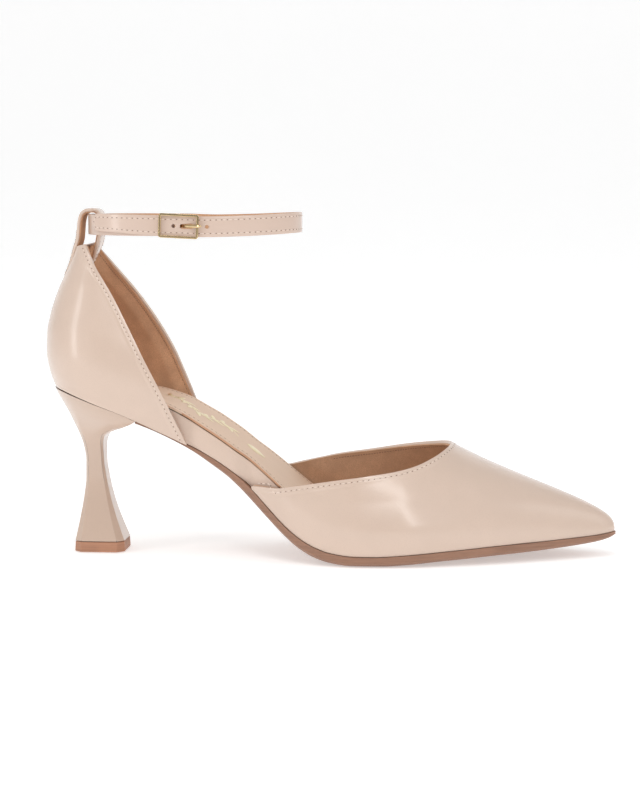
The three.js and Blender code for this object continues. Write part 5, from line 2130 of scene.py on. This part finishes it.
@dataclass
class Buckle:
    """The small rectangular buckle: tab, frame and prong."""

    strap: AnkleStrap
    length: float = 16.4
    play: float = 0.25
    ear: float = 0.5
    bar: float = 0.95
    shift: float = 0.6
    tilt: float = 0.05
    clear: float = 0.52
    tab_leg: float = 8.0
    prong: float = 0.9
    reach: float = 2.0
    eye: float = 0.5
    eye_room: float = 0.14
    corner: float = 0.55

    def __post_init__(self) -> None:
        """Work out the buckle's place and levels."""
        s = self.strap
        self.height = s.width + 2 * (self.play + self.ear)
        self.origin = Vector((s.bar_x, -(s.half + s.bar_level), s.middle(s.bar_x)))
        self.level = s.over_level + s.wall - s.bar_level + self.clear

    def place(self, x: float, out: float, z: float) -> Vector:
        """A point given along the strap, outwards and up from the centre bar."""
        return self.origin + Vector((x, -out, z))

    def tab(self) -> None:
        """Build the leather tab round the bar."""
        s = self.strap
        middle = s.bar_radius + s.clearance + s.tab_leaf / 2
        path = [self.place(mix(-self.tab_leg, 0, t), middle, 0) for t in steps(16)]
        path += [self.place(middle * math.sin(math.pi * t), middle * math.cos(math.pi * t), 0)
                 for t in steps(24)[1:]]
        path += [self.place(mix(0, -self.tab_leg, t), -middle, 0) for t in steps(16)[1:]]
        piece = strip("buckle_tab_leather", plan_stations(path, UP, s.width - 0.6, s.tab_leaf))
        room = s.prong_width / 2 + s.clearance
        corners = [(-1.7, -room), (3.9, -room), (3.9, room), (-1.7, room)]
        tool = prism("tab_tool", [self.place(x, -3, z) for x, z in corners], Vector((0, -6, 0)))
        dress(punched(piece, [tool]), Finish.STRAP, STRAP_PATENT, "buckle_tab")

    def frame(self) -> None:
        """Build the frame, its ears and the centre bar."""
        turn = Matrix.Rotation(self.tilt, 4, "Y")
        size = self.bar
        half_length, half_height = self.length / 2 - size / 2, self.height / 2 - size / 2
        path = []
        for q, (cx, cz) in enumerate(((1, 1), (-1, 1), (-1, -1), (1, -1))):
            for k in range(5):
                angle = math.pi / 2 * (q + k / 4)
                path.append(Vector((cx * (half_length - self.corner) + self.corner * math.cos(angle), 0,
                                    cz * (half_height - self.corner) + self.corner * math.sin(angle))))
        stations = []
        for i, p in enumerate(path):
            along = (path[(i + 1) % len(path)] - path[i - 1]).normalized()
            inward = along.cross(Vector((0, 1, 0))).normalized()
            centre = turn @ p + self.origin + Vector((self.shift, -(self.level + size / 2), 0))
            stations.append(Station(centre, (turn @ inward).normalized(),
                                    (turn @ Vector((0, -1, 0))).normalized(), size * 1.02, size))
        ring = strip("buckle_ring", stations, closed=True, rounding=0.17)
        ears = []
        s = self.strap
        for side in (-1, 1):
            z = side * (self.height - self.ear) / 2
            path = [self.place(0, mix(-s.bar_radius * 0.6, self.level + 0.4, t), z) for t in steps(14)]
            stations = [Station(p, Vector((1, 0, 0)), UP, mix(1.5, 1.9, i / 14), self.ear)
                        for i, p in enumerate(path)]
            ears.append(strip("ear", stations))
        rod = [self.place(0, 0, mix(-1, 1, t) * (self.height / 2 - 0.05)) for t in steps(20)]
        radii = [s.bar_radius * (1 if 0 < i < 20 else 0.8) for i in range(21)]
        bar = tube("bar", rod, radii, 20)
        piece = join("buckle_frame_gold", [ring, *ears, bar])
        dress(piece, Finish.GOLD, Home("buckle", "gold_metal"), "buckle_frame")

    def finger(self) -> None:
        """Build the prong: an eye round the bar and a finger on the front bar."""
        s = self.strap
        front = self.shift + self.length / 2 - self.bar / 2
        rest = self.level + self.bar + 0.1 + 0.6 * self.prong
        rise = math.atan2(rest, front - self.bar / 2)
        slope = math.tan(rise)
        tip = front + self.reach
        stations = []
        for t in steps(40):
            x = mix(0.55, tip, t)
            # The finger lies straight and dips at its tip.
            out = x * slope - 0.5 * ease(front + 0.4, tip + 0.8, x)
            thin = self.prong * mix(1, 0.62, ease(0.7, 1, t))
            width = s.prong_width * mix(1, 0.55, ease(0.75, 1, t)) * max(0.35, round_end((1 - t) * 14, 2))
            stations.append(Station(self.place(x, out, 0), UP, Vector((-math.sin(rise), -math.cos(rise), 0)),
                                    width, thin * 0.96))
        finger = strip("finger", stations, crown=0.12)
        radius = s.bar_radius + self.eye_room + self.eye / 2
        ring = [Station(self.origin + out * radius, UP, out, s.prong_width, self.eye)
                for out in (Vector((c, -sine, 0)) for c, sine in circle(32))]
        eye = strip("eye", ring, closed=True)
        piece = join("buckle_prong_gold", [finger, eye])
        dress(piece, Finish.GOLD, Home("prong", "gold_metal"), "buckle_prong")

    def make(self) -> None:
        """Build the whole buckle."""
        self.tab()
        self.frame()
        self.finger()


# ---------- inner pieces that keep their CAD shape ----------


@dataclass(frozen=True)
class Inner:
    """CAD nodes that lie inside the shoe and only need their finish."""

    stiffener: tuple[str, ...] = ("toe_puff", "counter_stiffener")
    board: tuple[str, ...] = ("insole_board",)
    cork: tuple[str, ...] = ("bottom_filler",)
    steel: tuple[str, ...] = (
        "shank", "shank_rivet_rear", "shank_rivet_front", "heel_dowel", "heel_screw", "heel_nail_1",
        "heel_nail_2", "heel_nail_3", "heel_nail_4", "top_lift_pin")

    def make(self) -> None:
        """Give each node its material."""
        pairs = ((self.stiffener, Finish.STIFFENER), (self.board, Finish.BOARD), (self.cork, Finish.CORK),
                 (self.steel, Finish.STEEL))
        for names, finish in pairs:
            for name in names:
                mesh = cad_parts[name].data
                mesh.materials.clear()
                mesh.materials.append(finish.material)
                log.info("%s: finished as %s", name, finish.value.name)


# ---------- studio ----------


@dataclass
class Studio:
    """A pale floor, soft lights and the camera."""

    camera: tuple[float, float, float] = (166.12, -896.97, 158.69)
    target: tuple[float, float, float] = (92.38, 0.0, 64.0)
    lens: float = 97.4
    dim_towards: tuple[float, float, float] = (0.05, -0.98, 0.12)
    sky_bright: float = 0.54
    sky_dim: float = 0.16

    def aim(self, obj: bpy.types.Object, place: Vector, target: Vector) -> None:
        """Put an object somewhere and point it at a target."""
        obj.location = place
        obj.rotation_euler = (target - place).to_track_quat("-Z", "Y").to_euler()

    def light(self, name: str, place: tuple[float, float, float], size: Point, power: float,
              roll: float = 0.0) -> None:
        """Add a soft box.

        Args:
            name: its name.
            place: where it stands, in metres.
            size: its width and height in metres.
            power: its power in watts.
            roll: turn about its own axis, in radians.
        """
        data = bpy.data.lights.new(name, "AREA")
        data.shape = "RECTANGLE"
        data.size, data.size_y = size
        data.energy = power
        lamp = put(name, data)
        self.aim(lamp, Vector(place), Vector((0.09, 0, 0.06)))
        lamp.rotation_euler.rotate_axis("Z", roll)

    def floor(self) -> None:
        """Lay the floor, which sweeps up behind the shoe."""
        profile = [(-4000.0, -0.3), (2200.0, -0.3)]
        profile += [(2200 + 900 * math.sin(a), 899.7 - 900 * math.cos(a))
                    for a in (math.pi / 2 * k / 24 for k in range(1, 25))]
        profile.append((3100.0, 3000.0))
        rows = [[Vector((x, y, z)) for x in (-5000, 5000)] for y, z in profile]
        sheet = weave(rows)
        floor = make_object("floor", sheet.points, sheet.faces)
        r = Recipe("floor_paper", Roughness=0.9, Emission_Strength=0.4, Emission_Color=(1.0, 1.0, 1.0, 1.0))
        r.shader.inputs["Specular IOR Level"].default_value = 0.1
        tone = r.blend(r.noise(400.0, 2.0), (0.85, 0.85, 0.85, 1), (0.87, 0.87, 0.87, 1))
        floor.data.materials.append(r.feed(Base_Color=tone))

    def sky(self) -> None:
        """Surround the stage with soft light that is dimmer behind the camera, for the glossy faces."""
        world = bpy.data.worlds.new("studio")
        world.use_nodes = True
        tree = world.node_tree
        background = tree.nodes["Background"]
        background.inputs["Color"].default_value = (1, 1, 1, 1)
        place = add_node(tree, "ShaderNodeTexCoord").outputs["Generated"]
        facing = add_node(tree, "ShaderNodeVectorMath")
        facing.operation = "DOT_PRODUCT"
        for i, value in enumerate((place, self.dim_towards)):
            plug(tree, facing.inputs[i], value)
        fade = add_node(tree, "ShaderNodeMapRange", Value=facing.outputs["Value"], From_Min=0.86,
                        From_Max=0.97, To_Min=self.sky_bright, To_Max=self.sky_dim)
        plug(tree, background.inputs["Strength"], fade.outputs["Result"])
        bpy.context.scene.world = world

    def make(self) -> None:
        """Set the stage."""
        scene = bpy.context.scene
        scene.view_settings.view_transform = "Standard"
        self.floor()
        self.sky()
        self.light("box_left", (-1.15, -0.85, 0.35), (0.28, 1.6), 5.6)
        self.light("box_above", (0.0, 0.1, 1.4), (1.2, 0.6), 1.6)
        self.light("strip_front", (0.3, -0.9, 1.0), (0.18, 2.0), 6.4, 0.32)
        self.light("box_right", (1.3, -0.3, 0.7), (0.4, 0.9), 1.2)
        camera = put("camera", bpy.data.cameras.new("camera"))
        camera.data.lens = self.lens
        camera.data.sensor_width = 36.0
        camera.data.clip_start = 0.01
        self.aim(camera, Vector(self.camera) * MM, Vector(self.target) * MM)
        scene.camera = camera


def main() -> None:
    """Build the shoe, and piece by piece."""
    logging.basicConfig(level=logging.INFO, format="%(message)s", stream=sys.stdout)
    Studio().make()
    last = Last()
    strap = AnkleStrap()
    quarters = Quarters(last)
    sole = Sole(last)
    Vamp(last).make()
    quarters.make()
    BackLoop(quarters).make()
    sole.outsole()
    sole.waist()
    sole.cushions()
    sole.sock()
    Heel(last).make()
    strap.make()
    Buckle(strap).make()
    Inner().make()


if __name__ == "__main__":
    main()
